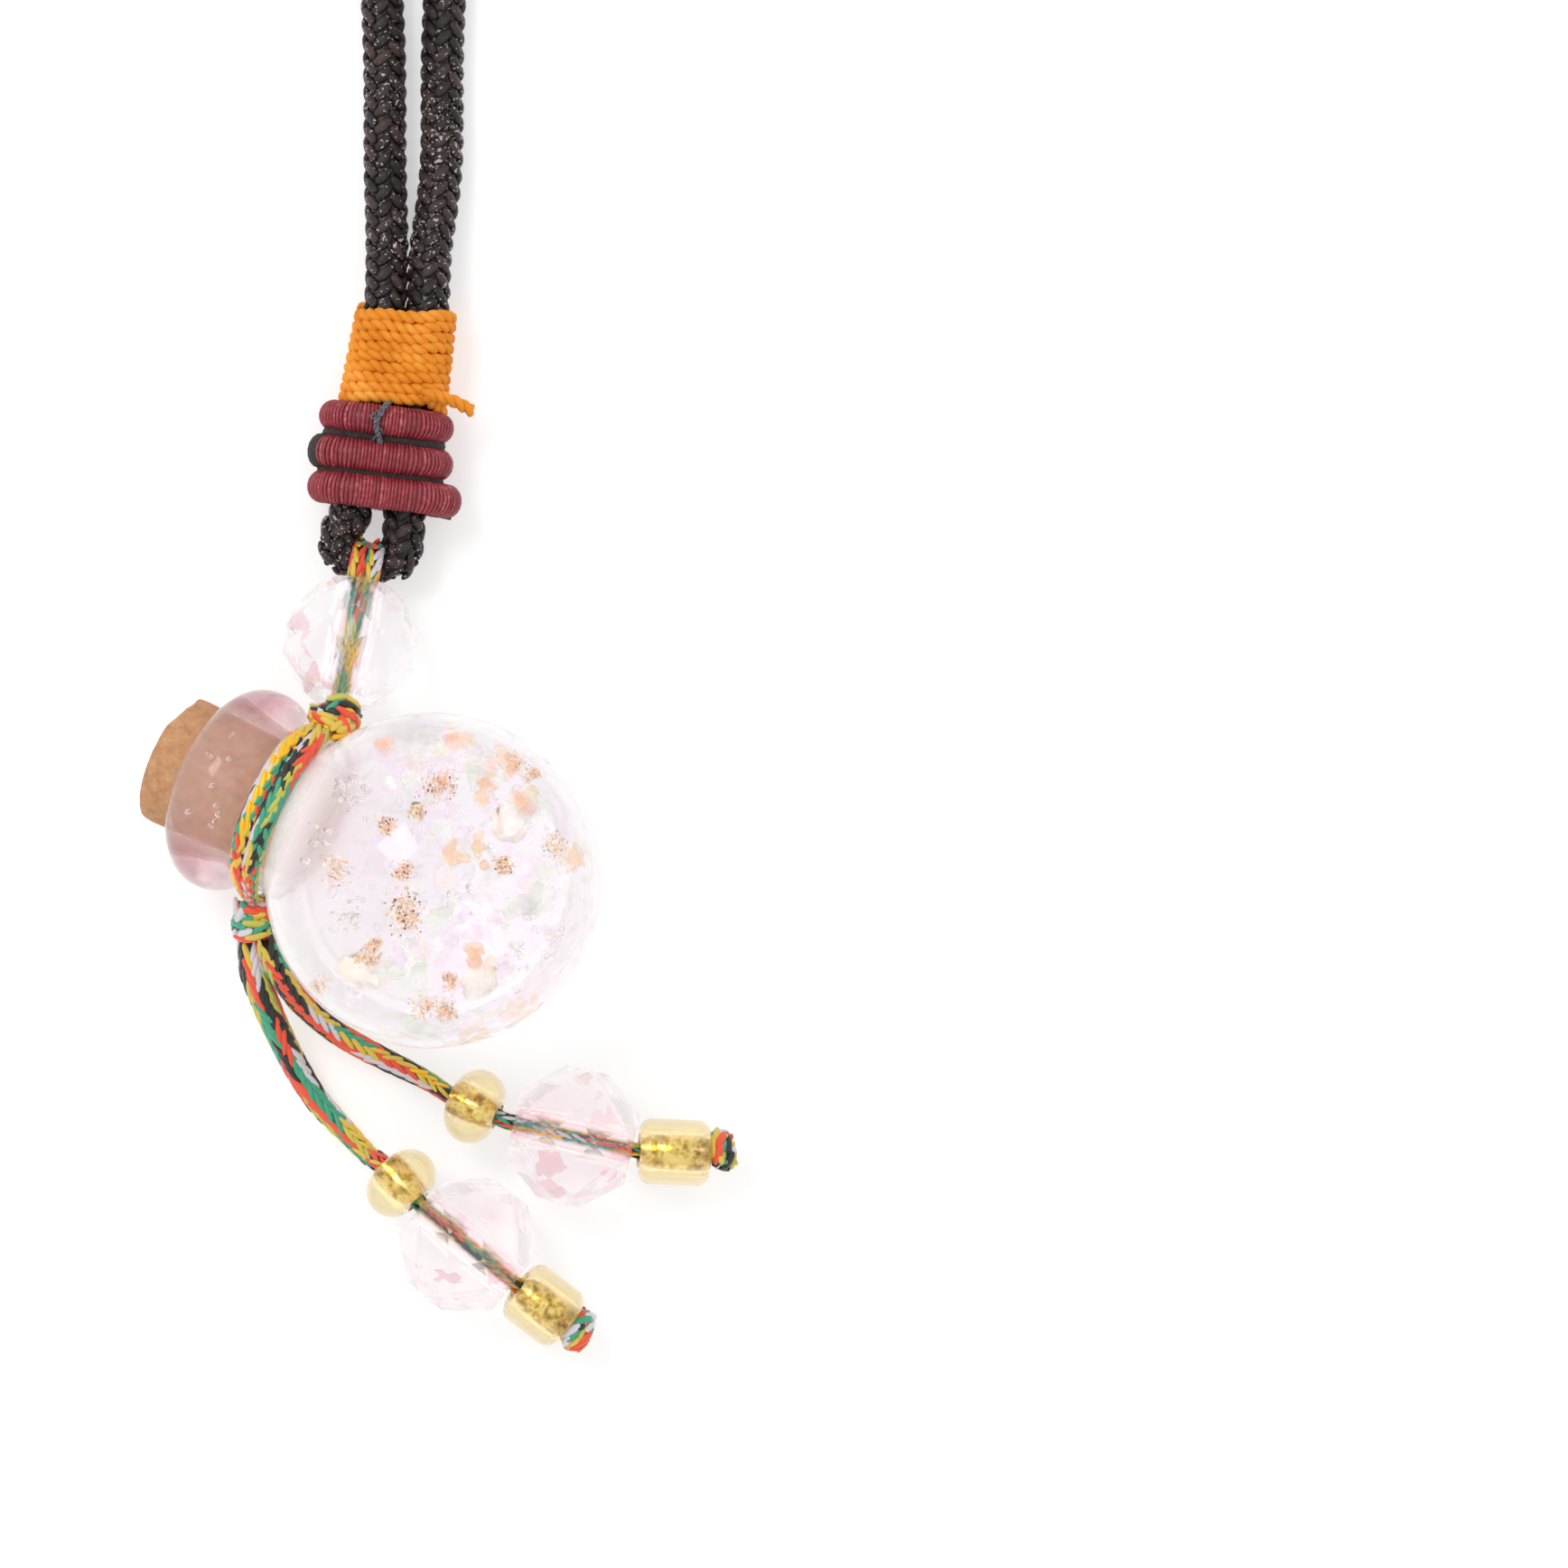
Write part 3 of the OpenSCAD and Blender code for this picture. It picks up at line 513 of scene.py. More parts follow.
def lay_yarn(name, route, step, twist_length, ply_offset, ply_r, finish):
    """Two-ply yarn along a route. Its plies go once round each other in a twist length."""
    path = evenly(route, step)
    along, across = directions(path)
    print("yarn:", round(len(path) * step, 1), "mm")
    return grow(name, stations(path, along, across), yarn_tree, {
        "Turns per station": step / twist_length, "Ply offset": ply_offset * MM,
        "Ply radius": ply_r * MM}, finish)


wrap_low, wrap_high = (np.array([x, y, BUNDLE_Z]) for x, y, _ in BUNDLE[3:])
wrap_axis = unit(wrap_high - wrap_low)
wrap_mid = (wrap_low + wrap_high) / 2
PITCH, TURNS = 0.405, 9.5
YARN_R, YARN_GAP = 0.22, 0.05
YARN_END = [(-0.4, 18.82, 3.22), (0.1, 18.75, 3.05), (0.62, 18.6, 2.9), (1.0, 18.42, 2.7),
            (1.35, 18.22, 2.5)]
wind = around_strands(wrap_mid - wrap_axis * (PITCH * TURNS / 2 + 0.1), first=1.02 * CORD_R,
                      last=0.82 * CORD_R, axis=heading(85.5, 0), reach=CORD_R + YARN_GAP + YARN_R,
                      turns=TURNS, rise=wrap_axis * PITCH, start=0.3, steps=64, loose=0.11)
loose_end = smooth(np.vstack([wind[:1], YARN_END]), 12)[::-1]
yarn = lay_yarn("orange_yarn", np.vstack([loose_end[:-1], wind]), step=0.07, twist_length=0.84,
                ply_offset=0.115, ply_r=0.16, finish=yarn_mat)
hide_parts("orange_wrap")

# %% [markdown]
# ## The red rope rings
# Three rings of satin rope sit under the yarn. The rope is a core wound closely with rayon thread, so
# it shows fine ribs right across it, which catch the light as a soft band. One rib is instanced at
# each station. The core shows dark brown where the rope's cut end is tucked in.

# %% Material: rayon satin thread
satin_mat, tree, shader = material("rayon satin thread, maroon", {
    "Roughness": 0.36, "Specular IOR Level": 0.5, "Sheen Weight": 0.12, "Sheen Roughness": 0.35,
    "Sheen Tint": srgb("#e08090")})
tint = add(tree, "ShaderNodeAttribute", attribute_name="tint").outputs["Fac"]
where = add(tree, "ShaderNodeTexCoord").outputs["Object"]
# Painted sheen: spots of about 0.16 mm, lighter up to the ramp's palest stop, stand for single filaments
# that catch the light differently
painted_sheen = add(tree, "ShaderNodeTexNoise", {"Vector": where, "Scale": 1 / (0.16 * MM), "Detail": 2.0})
mixed = add(tree, "ShaderNodeMath", {0: painted_sheen, 1: 1.5, 2: -0.75}, operation="MULTIPLY_ADD")
shade = add(tree, "ShaderNodeMath", {0: tint, 1: mixed}, operation="ADD", use_clamp=True)
maroon = ramp(tree, shade, [(0, "#751f28"), (0.4, "#8d2b34"), (0.75, "#a03a43"), (1, "#c2666d")])
feed(shader, {"Base Color": maroon})

# %% Geometry tree: ribbed rope
rope_tree, given = open_tree("ribbed rope", {
    "Width": ("Float", 0.5 * MM), "Height": ("Float", 0.6 * MM), "Rib": ("Float", 0.12),
    "Lean": ("Float", 0.15), "Seed": ("Int", 1), "Material": ("Material", None)})
t = rope_tree
along, across, girth = read_stations(t, "along", "across", "girth")
facing = add(t, "FunctionNodeAxesToRotation", {"Primary Axis": along, "Secondary Axis": across},
             primary_axis="Z", secondary_axis="X")
wobble = add(t, "FunctionNodeRandomValue", {2: -0.03, 3: 0.03, "Seed": given["Seed"]},
             data_type="FLOAT").outputs[1]
lean = add(t, "ShaderNodeMath", {0: wobble, 1: given["Lean"]}, operation="ADD")
twist = add(t, "ShaderNodeCombineXYZ", {"X": lean})
turned = add(t, "FunctionNodeRotateRotation", {"Rotation": facing, "Rotate By": twist},
             rotation_space="LOCAL")
# A rib is a thin ring of wire, stretched to the rope's section
circle = add(t, "GeometryNodeCurvePrimitiveCircle", {"Resolution": 20, "Radius": 1.0})
wire = add(t, "GeometryNodeCurvePrimitiveCircle", {"Resolution": 6, "Radius": given["Rib"]})
rib = add(t, "GeometryNodeCurveToMesh", {"Curve": circle, "Profile Curve": wire})
shape = add(t, "ShaderNodeCombineXYZ", {"X": given["Width"], "Y": given["Height"], "Z": given["Width"]})
shaped = add(t, "GeometryNodeTransform", {"Geometry": rib, "Scale": shape})
soft = add(t, "GeometryNodeSetShadeSmooth", {"Geometry": shaped})
ribs = add(t, "GeometryNodeInstanceOnPoints", {"Points": given["Geometry"], "Instance": soft,
                                               "Rotation": turned, "Scale": girth})
draw = add(t, "FunctionNodeRandomValue", {2: 0.2, 3: 0.75, "Seed": given["Seed"]},
           data_type="FLOAT").outputs[1]
tinted = add(t, "GeometryNodeStoreNamedAttribute", {"Geometry": ribs, "Name": "tint", "Value": draw},
             data_type="FLOAT", domain="INSTANCE")
close_tree(t, tinted, given["Material"])
print("rope tree:", len(t.nodes), "nodes")


# %% Tubes, pieces and closed paths
def sweep(name, path, along, across, wide, high, sides=16, closed=False):
    """A plain tube of oval section along a path, with flat ends unless it is closed."""
    up = np.cross(along, across)
    a = np.arange(sides) * math.tau / sides
    wide = (np.ones(len(path)) * wide)[:, None, None]
    points = (path[:, None] + wide * np.cos(a)[None, :, None] * across[:, None]
              + high * np.sin(a)[None, :, None] * up[:, None]).reshape(-1, 3)
    n = len(path)
    faces = []
    for i in range(n if closed else n - 1):
        for k in range(sides):
            j, m = (i + 1) % n, (k + 1) % sides
            faces.append((i * sides + k, i * sides + m, j * sides + m, j * sides + k))
    if not closed:
        faces += [tuple(range(sides))[::-1], tuple((n - 1) * sides + k for k in range(sides))]
    mesh = bpy.data.meshes.new(name)
    mesh.from_pydata((points * MM).tolist(), [], faces)
    mesh.shade_smooth()
    return mesh


def piece_of(name, mesh, finish, body="pendant"):
    """An object for a mesh, with its material, riding on a body."""
    piece = bpy.data.objects.new(name, mesh)
    bpy.context.collection.objects.link(piece)
    mesh.materials.clear()
    mesh.materials.append(finish)
    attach(piece, body)
    print(name, len(mesh.polygons), "faces")
    return piece


COIL_AXIS = heading(83, 0)


def round_strands(x, y, spread, reach, steps, step=None):
    """A closed path right round both strands with its directions, in even steps if a step is given."""
    path = around_strands(np.array([x, y, BUNDLE_Z]), first=spread, last=spread, axis=COIL_AXIS,
                          reach=reach, turns=1, rise=0 * COIL_AXIS, steps=steps)
    path = (evenly(path, step) if step else path)[:-1]
    along = np.gradient(np.vstack([path[-2:], path, path[:2]]), axis=0)[2:-2]
    along /= np.linalg.norm(along, axis=1)[:, None]
    return path, along, np.array([unit(COIL_AXIS - COIL_AXIS @ s * s) for s in along])


# %% Material: the rope's core
core_mat, tree, shader = material("rope core, dark brown", {"Roughness": 0.8})
dark, _ = spotted(tree, grain=0.15, detail=2.0, stops=[(0.35, "#1a1211"), (0.7, "#382824")])
feed(shader, {"Base Color": dark})

# %% Lay the three rings
COIL_THICK, COIL_GAP = 1.1, 0.06
# Each rib is a loop of wire, and the core's skin lies just inside the ribs
RIB_STEP, RIB_INSET, CORE_INSET = 0.14, 0.05, 0.07
# From the top: number, row of the bundle, move to the right, change of spread, length along the cord
RINGS = [(1, 2, 0.0, -0.22, 1.2), (2, 1, -0.08, 0.0, 1.22), (3, 0, 0.19, 0.07, 1.28)]
# The second ring's winding is open at its left, and the core's bare end bulges out of it
OPEN_RING, OPEN_WIDE = 2, 0.26
BARE_WIDE, BULGE = 0.3, 0.14
for number, row_of, aside, wider, tall in RINGS:
    x, y, wide = BUNDLE[row_of]
    path, along, across = round_strands(x + aside, y, spread=(wide + wider) * CORD_R,
                                        reach=CORD_R + COIL_GAP + COIL_THICK / 2, steps=240,
                                        step=RIB_STEP)
    # The girth swells and shrinks by a few hundredths along the ring
    place = np.arange(len(path))
    girth = 1 + 0.015 * np.sin(place * 0.9 + number) + 0.015 * np.sin(place * 0.23)
    from_left = path[:, 0] - path[:, 0].min()
    kept = (from_left > OPEN_WIDE) | (number != OPEN_RING)
    rope = grow(f"red_rope_{number}", stations(path[kept], along[kept], across[kept], girth[kept]),
                rope_tree, {"Width": (tall / 2 - 0.06) * MM, "Height": (COIL_THICK / 2 - RIB_INSET) * MM,
                            "Rib": 0.125, "Lean": 0.14, "Seed": number}, satin_mat)
    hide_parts(f"red_coil_{number}")
    bulge = BULGE * np.exp(-(from_left / BARE_WIDE) ** 2) * (number == OPEN_RING)
    core = piece_of(f"rope_core_{number}", sweep(
        "core", path, along, across, wide=tall / 2 - CORE_INSET + bulge, high=COIL_THICK / 2 - CORE_INSET,
        closed=True), satin_mat)
    if number == OPEN_RING:
        core.data.materials.append(core_mat)
        for face in core.data.polygons:
            face.material_index = int(face.center.x < (path[:, 0].min() + BARE_WIDE) * MM)

# %% Dark tubes between the rings: painted shade in the gaps
CORE_R = 0.3
for number, (low, high) in enumerate((BUNDLE[0:2], BUNDLE[1:3]), 1):
    x, y, wide = (np.array(low) + high) / 2
    path, along, across = round_strands(x, y, spread=wide * CORD_R, reach=CORD_R + 0.42, steps=60)
    between = piece_of(f"gap_shade_tube_{number}",
                       sweep("core", path, along, across, CORE_R, CORE_R, 12, closed=True), core_mat)

# The rope's other end peeps out under the lowest ring
end_path = np.linspace((-0.5, 14.52, 1.75), (0.56, 14.28, 1.7), 9)
stub = piece_of("rope_core_end", sweep("stub", end_path, *directions(end_path), CORE_R, 0.34, 14), core_mat)

# %% [markdown]
# A grey thread is stitched once across the top ring, with frayed ends. It is thin yarn of two plies,
# so the yarn's tree makes it too, with its own sizes.

# %% Stitch across the top ring
stitch_mat, tree, shader = material("grey sewing thread", {"Roughness": 0.8})
greys, _ = spotted(tree, grain=0.1, detail=2.0, stops=[(0.35, "#3a3a40"), (0.65, "#6f7076")])
feed(shader, {"Base Color": greys})
# The stitch, then its frayed fibres: the points and the radius of a ply
STITCHES = [([(-1.86, 18.5, 3.8), (-2.02, 18.25, 4.0), (-2.18, 17.98, 4.1), (-2.3, 17.72, 4.08),
              (-2.28, 17.45, 3.98), (-2.2, 17.12, 3.75), (-2.16, 16.9, 3.72)], 0.08),
            ([(-2.22, 18.18, 4.06), (-2.4, 18.02, 4.14), (-2.55, 17.93, 4.1)], 0.03),
            ([(-2.2, 17.93, 4.12), (-2.42, 17.86, 4.15), (-2.56, 18.0, 4.1)], 0.025),
            ([(-2.26, 17.58, 4.06), (-2.12, 17.44, 4.02), (-2.04, 17.3, 3.92)], 0.03),
            ([(-1.92, 18.36, 3.95), (-1.8, 18.46, 3.9), (-1.74, 18.58, 3.8)], 0.03),
            ([(-2.24, 17.26, 3.9), (-2.38, 17.14, 3.8), (-2.46, 17.0, 3.7)], 0.03)]
for number, (points, ply_r) in enumerate(STITCHES, 1):
    lay_yarn(f"stitch_{number}", smooth(points, 8), step=0.05, twist_length=0.4,
             ply_offset=ply_r * 0.6, ply_r=ply_r, finish=stitch_mat)

# %% [markdown]
# ## The many-coloured thread
# Friendship-bracelet thread: polyester floss in red-orange, black, yellow, olive, green and pale grey,
# braided with a strand of metallic gold. Its lobes are long and lean little. One colour stays with a
# column for about three lobes, so the ramp below picks a colour for each streak. The same braiding
# tree makes the tails, the turns round the neck, the loop over the cord and the knots.

# %% Material: braided polyester floss
floss_mat, tree, shader = material("polyester floss, six colours and gold", {
    "Specular IOR Level": 0.5, "Sheen Weight": 0.3, "Sheen Roughness": 0.4})
tint = add(tree, "ShaderNodeAttribute", attribute_name="tint").outputs["Fac"]
# The last stop, dark brown, is the core's: painted shade in the gaps between lobes
colours = ramp(tree, tint, [(0, "#e9512f"), (0.2, "#262120"), (0.37, "#dcbb45"), (0.5, "#c5bc4c"),
                            (0.58, "#3c9f7b"), (0.76, "#d3ced3"), (0.88, "#fcc326"), (0.965, "#2b2522")],
               "CONSTANT")
# The gold strand has the tints from 0.88 to 0.96
gold = add(tree, "ShaderNodeMath", {0: tint, 1: 0.92, 2: 0.041}, operation="COMPARE")
metal = add(tree, "ShaderNodeMath", {0: gold, 1: 0.55}, operation="MULTIPLY")
feed(shader, {"Base Color": colours, "Metallic": metal})
filaments(tree, shader, stretch=1.0, fineness=1.3, strength=0.6, depth=0.025, dull=0.6, shiny=0.3)


# %% Places in the bottle's own directions
def placer(origin, x_dir, y_dir, z_dir):
    """A function that turns a shape's own x, y and z into places."""
    def at(x, y, z):
        return (origin + np.multiply.outer(x, x_dir) + np.multiply.outer(y, y_dir)
                + np.multiply.outer(z, z_dir))
    return at


def middle(node):
    """The middle of a measured piece, in millimetres."""
    low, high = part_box(node)
    return (np.array(low) + np.array(high)) / 2 / MM


# From the centre of the round body: x goes under, y to the side and z out along the neck
CENTRE = np.array([0, 0, 6.5])
NECK = heading(155.4, -17.2276)
SIDE = heading(245.4, 0)
UNDER = np.cross(SIDE, NECK)
in_bottle = placer(CENTRE, UNDER, SIDE, NECK)
print("mouth of the bottle at", in_bottle(0, 0, 10.4).round(1))


# %% Braid a length of thread
def thread(name, path, width, node, seed, flat=0.0, girth=None, columns=10, fine=1.0, plump=1.0,
           up=(0, 0, 1), streak=3.0):
    """A piece of braided thread that stands for a measured one, or for none.

    Its lobes are smaller where fine is below 1, and plump lobes show where it is knotted.
    """
    pitch = 0.62 * fine
    path = evenly(np.array(path), pitch / 2)[::2]
    along, across = directions(path, up)
    if girth is not None:
        girth = np.interp(np.linspace(0, 1, len(path)), np.linspace(0, 1, len(girth)), girth)
    r = width / 2 - 0.08 * fine
    piece = grow(name, stations(path, along, across, girth), braid_tree, {
        "Columns": columns, "Radius": r * MM, "Flatness": flat, "Row pitch": pitch * MM,
        "Lobe length": 1.25 * fine * MM, "Lobe width": 0.27 * fine * plump * MM,
        "Lobe height": 0.22 * fine * plump * MM, "Lean": 0.26, "Core radius": (r - 0.03) * (1 - flat) * MM,
        "Streak rows": streak, "Seed": seed}, floss_mat)
    if node:
        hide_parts(node)


# %% Braid the tails
# Down from the lower knot to the table. After that each tail goes through its own beads
TAIL_1 = [(-6.5, -2.5, 4.4), (-6.2, -3.3, 3.9), (-5.6, -4.4, 3.0), (-4.8, -5.3, 2.2), (-3.8, -6.1, 1.6),
          (-2.6, -6.8, 1.2), (-1.4, -7.4, 1.2), (-0.4, -7.9, 1.5)]
TAIL_2 = [(-7.15, -2.5, 3.8), (-7.1, -3.4, 3.4), (-6.75, -4.6, 2.7), (-6.2, -6.0, 1.9), (-5.6, -7.3, 1.1),
          (-4.8, -8.6, 0.8), (-3.8, -9.7, 0.9), (-2.7, -10.8, 1.4)]
# The way through the two gold beads, the pink bead between them, and the end knot
TURNS_1 = [heading(-24, 9), heading(-13, 0), heading(-3, -6), heading(0, -10)]
TURNS_2 = [heading(-47, 10), heading(-40, 0), heading(-38, -8), heading(-35, -12)]
HALF_BORES = (1.0, 2.35, 1.2)
# The thread is drawn thinner from the first bead on
GIRTH_1 = [0.95, 0.92, 0.9, 0.9, 0.85, 0.7, 0.66] + [0.6] * 5
GIRTH_2 = [1.1, 1.08, 1.04, 1.0, 0.9, 0.75, 0.66] + [0.6] * 5
for number, route, turns, girth in ((1, TAIL_1, TURNS_1, GIRTH_1), (2, TAIL_2, TURNS_2, GIRTH_2)):
    *beads, end = [middle(f"{piece}_{number}")
                   for piece in ("gold_round", "pink_bead", "gold_barrel", "end_knot")]
    points = list(route)
    for spot, turn, reach in zip(beads, turns, HALF_BORES):
        points += [spot - reach * turn, spot + reach * turn]
    thread(f"tail_{number}", smooth(points + [end - 0.5 * turns[3]], 10), width=1.0,
           node=f"tail_thread_{number}", seed=20 + number, girth=girth)

# %% The two turns round the neck
TURN_R, TURN_AT, TURN_APART, TURN_WIDE = 3.63, 6.24, 0.31, 0.76
UPPER, LOWER = math.radians(266), math.radians(85)
turn_angle = np.radians(np.arange(0, 361, 3.0))
# At the knots the turns draw together and grow thin, over a longer stretch at the lower one
apart = np.minimum(*[far * np.abs((turn_angle - knot_at + math.pi) % math.tau - math.pi)
                     for knot_at, far in ((UPPER, 1), (LOWER, 0.6))])
spread_out = 0.3 + 0.7 * np.clip((apart - 0.15) / 0.6, 0, 1)
turn_girth = 0.62 + 0.38 * np.clip((apart - 0.12) / 0.5, 0, 1)
for number, side, node in ((1, -1, "neck_binding"), (2, 1, None)):
    r = TURN_R + 0.03 * np.sin(5 * turn_angle + number)
    ring_path = in_bottle(r * np.cos(turn_angle), r * np.sin(turn_angle),
                          TURN_AT + side * TURN_APART * spread_out)
    thread(f"neck_turn_{number}", ring_path, TURN_WIDE, node, seed=30 + number, girth=turn_girth,
           up=NECK, streak=3.5)


# %% [markdown]
# ## Knots
# Each knot is the thread wound tightly in tilted turns, with one turn crossing over the rest, as an
# overhand knot looks when it is pulled tight. Its lobes swell where they bend.

# %% Tie the knots
def knot(name, spot, axis, across, tall, turns, node, seed):
    """A tight knot round an axis, so wide across and so tall along it."""
    axis = unit(axis)
    wide = unit(np.cross(axis, (0, 0, 1)))
    high = np.cross(wide, axis)
    s = np.linspace(0, 1, 160)
    a = math.tau * turns * s + 0.6
    lift = (s - 0.5) * (tall - 0.5) + 0.13 * np.sin(a + 1)
    r = (across / 2 - 0.28) * (0.86 + 0.14 * np.sin(math.pi * s))
    wound = spot + np.outer(lift, axis) + np.outer(r * np.cos(a), wide) + np.outer(r * np.sin(a), high)
    a = np.linspace(0.9, 0.9 + math.tau * 0.62, 40)
    over = np.outer(0.9 * np.sin((a - a.mean()) * 0.9) * (tall - 0.5) / 2, axis)
    crossing = spot + over + (across / 2 - 0.16) * (np.outer(np.cos(a), wide) + np.outer(np.sin(a), high))
    path = np.vstack([wound, wound[-1:] * 0.5 + crossing[:1] * 0.5, crossing])
    thread(name, evenly(path, 0.1), 0.56, node, seed, columns=5, fine=0.75, plump=1.75, up=axis,
           girth=[0.7] + [1] * 8 + [0.55], streak=1.6)


BEAD_DIR = heading(80, -16.1)
UPPER_KNOT_AT = in_bottle(-0.5, -4.02, 6.2)
END_1, END_2 = TURNS_1[3], TURNS_2[3]
knot("upper_knot_thread", UPPER_KNOT_AT, BEAD_DIR, across=1.85, tall=1.5, turns=2.2,
     node="upper_knot", seed=59)
knot("lower_knot_thread", middle("lower_knot") + (0.1, 0, 0.1), (0.12, -1, 0), across=1.6, tall=1.45,
     turns=2.3, node="lower_knot", seed=57)
knot("end_knot_thread_1", middle("end_knot_1") - 0.3 * END_1 + (0, 0.1, 0), END_1, across=1.4,
     tall=1.0, turns=1.5, node="end_knot_1", seed=53)
knot("end_knot_thread_2", middle("end_knot_2") - 0.3 * END_2, END_2, across=1.5, tall=1.25,
     turns=1.8, node="end_knot_2", seed=55)

# %% The loop over the cord
# Two strands leave the clear bead side by side, go under the bend and come back over it
BEAD_AT = middle("top_bead")
RIGHT = unit(np.cross(BEAD_DIR, (0, 0, 1)))
LIFT = np.cross(RIGHT, BEAD_DIR)
LOOP_R = 0.8
knot_side, mouth = BEAD_AT - 2.5 * BEAD_DIR, BEAD_AT + 2.2 * BEAD_DIR
bow = [HANG_AT + LOOP_R * heading(80, a) for a in range(-120, 121, 20)]
for number, side, seed, node in ((1, -1, 61, "hanger_thread"), (2, 1, 64, None)):
    inside = [p + 0.13 * side * RIGHT for p in (knot_side, BEAD_AT, mouth)]
    hang_points = ([p - 0.29 * LIFT for p in inside] + [p + 0.3 * side * RIGHT for p in bow]
                   + [p + 0.29 * LIFT for p in inside[::-1]] + [UPPER_KNOT_AT])
    thread(f"hanger_strand_{number}", smooth(hang_points, 8), 0.62, node, seed, flat=0.3, columns=6,
           fine=0.8, plump=1.15, streak=2.0,
           girth=[0.62, 0.62, 0.62, 0.7, 0.9, 1, 1, 1, 0.9, 0.7, 0.62, 0.62, 0.62, 0.5])

# %% [markdown]
# ## Blown glass
# The bottle was blown from clear glass rolled in crushed colour. It is a surface of revolution with
# an outer skin, a rolled rim and an inner wall, as the measured solid has, plus the slight unevenness
# of hand work. Dusty pink glass shows at the neck and in the rim's lobes, and the body is clear with
# a lilac and pale green cast. A part of the light passes straight through, which keeps the table
# under thin glass bright, and the thick glass at the neck is a little milky. All the glass also glows
# faintly, most where it is milky, which is painted light, and its tone darkens towards the outline,
# which is painted shade.

# %% Material: blown glass
def glass(name, bend, clear, settings=None):
    """Glass: partly bent light, partly light that passes straight through."""
    return material(name, {"Roughness": 0.03, "IOR": bend, "Transmission Weight": 1.0, "Alpha": clear,
                           "Coat Weight": 1.0, **(settings or {})})


def neck_pink(tree, where, reach):
    """How pink the glass is. It gathers in the lobes at both sides of the rim, with a pale band between."""
    swirl = add(tree, "ShaderNodeTexNoise", {"Vector": where, "Scale": 1 / (2.6 * MM), "Detail": 2.0,
                                             "Distortion": 0.6})
    # The neck begins 5.6 mm from the body's centre. That is 3.7 mm along it from the table's origin
    up_neck = add(tree, "ShaderNodeMapRange", {"Value": reach, "From Min": 4.3 * MM,
                                               "From Max": 6.3 * MM})
    aside = add(tree, "ShaderNodeVectorMath", {0: where, 1: tuple(SIDE)}, operation="DOT_PRODUCT")
    lobes = add(tree, "ShaderNodeMath", {0: aside.outputs["Value"]}, operation="ABSOLUTE")
    in_lobe = add(tree, "ShaderNodeMapRange", {"Value": lobes, "From Min": 2.2 * MM,
                                               "From Max": 3.2 * MM, "To Min": 0.4, "To Max": 1.25})
    deep = add(tree, "ShaderNodeMath", {0: in_lobe, 1: up_neck, 2: -0.62}, operation="MULTIPLY_ADD")
    return add(tree, "ShaderNodeMath", {0: swirl, 1: 0.8, 2: deep}, operation="MULTIPLY_ADD",
               use_clamp=True)


def melted_in(tree, where, tone):
    """The tone with crushed glass melted in: cloudy patches of green and lilac, about 1.3 mm across."""
    cloud = add(tree, "ShaderNodeTexNoise", {"Vector": where, "Scale": 1 / (1.3 * MM), "Detail": 4.0,
                                             "Roughness": 0.65, "Distortion": 0.8})
    melted = ramp(tree, cloud, [(0.3, "#bfcdb0"), (0.4, "#dfe8d5"), (0.47, "#fbfafb"), (0.53, "#f9f2fb"),
                                (0.6, "#ead7ef"), (0.66, "#f9dfca")])
    # Only the side away from the neck has much of it
    place = add(tree, "ShaderNodeSeparateXYZ", {0: where})
    much = add(tree, "ShaderNodeMapRange", {"Value": place, "From Min": -3.5 * MM, "From Max": -0.5 * MM,
                                            "To Min": 0.15, "To Max": 0.9})
    mixed = add(tree, "ShaderNodeMix", {"Factor": much, "A": tone, "B": melted}, data_type="RGBA",
                blend_type="MULTIPLY")
    return mixed.outputs["Result"]


def bottle_glass(name, bend, clear):
    """Bottle glass whose tone changes with place along the neck and darkens towards its outline as painted
    shade, with a faint painted glow.
    """
    made, tree, shader = glass(name, bend, clear, {"Coat Weight": 0.4, "Emission Color": (1, 1, 1, 1)})
    where = add(tree, "ShaderNodeTexCoord").outputs["Object"]
    reach = add(tree, "ShaderNodeVectorMath", {0: where, 1: tuple(NECK)},
                operation="DOT_PRODUCT").outputs["Value"]
    pink = neck_pink(tree, where, reach)
    dense = add(tree, "ShaderNodeMath", {0: pink, 1: 0.28, 2: clear}, operation="MULTIPLY_ADD")
    # The wall is thick and a little cloudy where the body runs into the neck, less so in the rim. All the
    # glass glows faintly, and more where it is cloudy: painted light
    along_neck = add(tree, "ShaderNodeMapRange", {"Value": reach, "From Max": 8 * MM})
    cloudy = ramp(tree, along_neck, [(0.14, "#000000"), (0.34, "#ffffff"), (0.46, "#ffffff"),
                                     (0.6, "#828282")])
    for socket, base, change in (("Transmission Weight", 1.0, -0.42), ("Alpha", dense, 0.2),
                                 ("Emission Strength", 0.075 * clear, 0.08)):
        value = add(tree, "ShaderNodeMath", {0: cloudy, 1: change, 2: base}, operation="MULTIPLY_ADD")
        feed(shader, {socket: value})
    # Towards the outline the tone turns dark grey-green and deeper pink: painted shade
    facing = add(tree, "ShaderNodeLayerWeight", {"Blend": 0.5}).outputs["Facing"]
    body = ramp(tree, facing, [(0, "#fcf7fe"), (0.5, "#fdfafd"), (0.78, "#f3f6f4"), (0.92, "#dbe3e0"),
                               (1, "#8b9a96")])
    neck = ramp(tree, facing, [(0, "#eaa6b5"), (0.4, "#dc8b9d"), (0.8, "#c56d81"), (1, "#a65567")])
    tone = add(tree, "ShaderNodeMix", {"Factor": pink, "A": body, "B": neck}, data_type="RGBA")
    feed(shader, {"Base Color": melted_in(tree, where, tone.outputs["Result"])})
    return made


bottle_mat = bottle_glass("blown glass, clear to dusty pink", bend=1.25, clear=0.55)
inner_mat = bottle_glass("blown glass, inner wall", bend=1.04, clear=0.22)


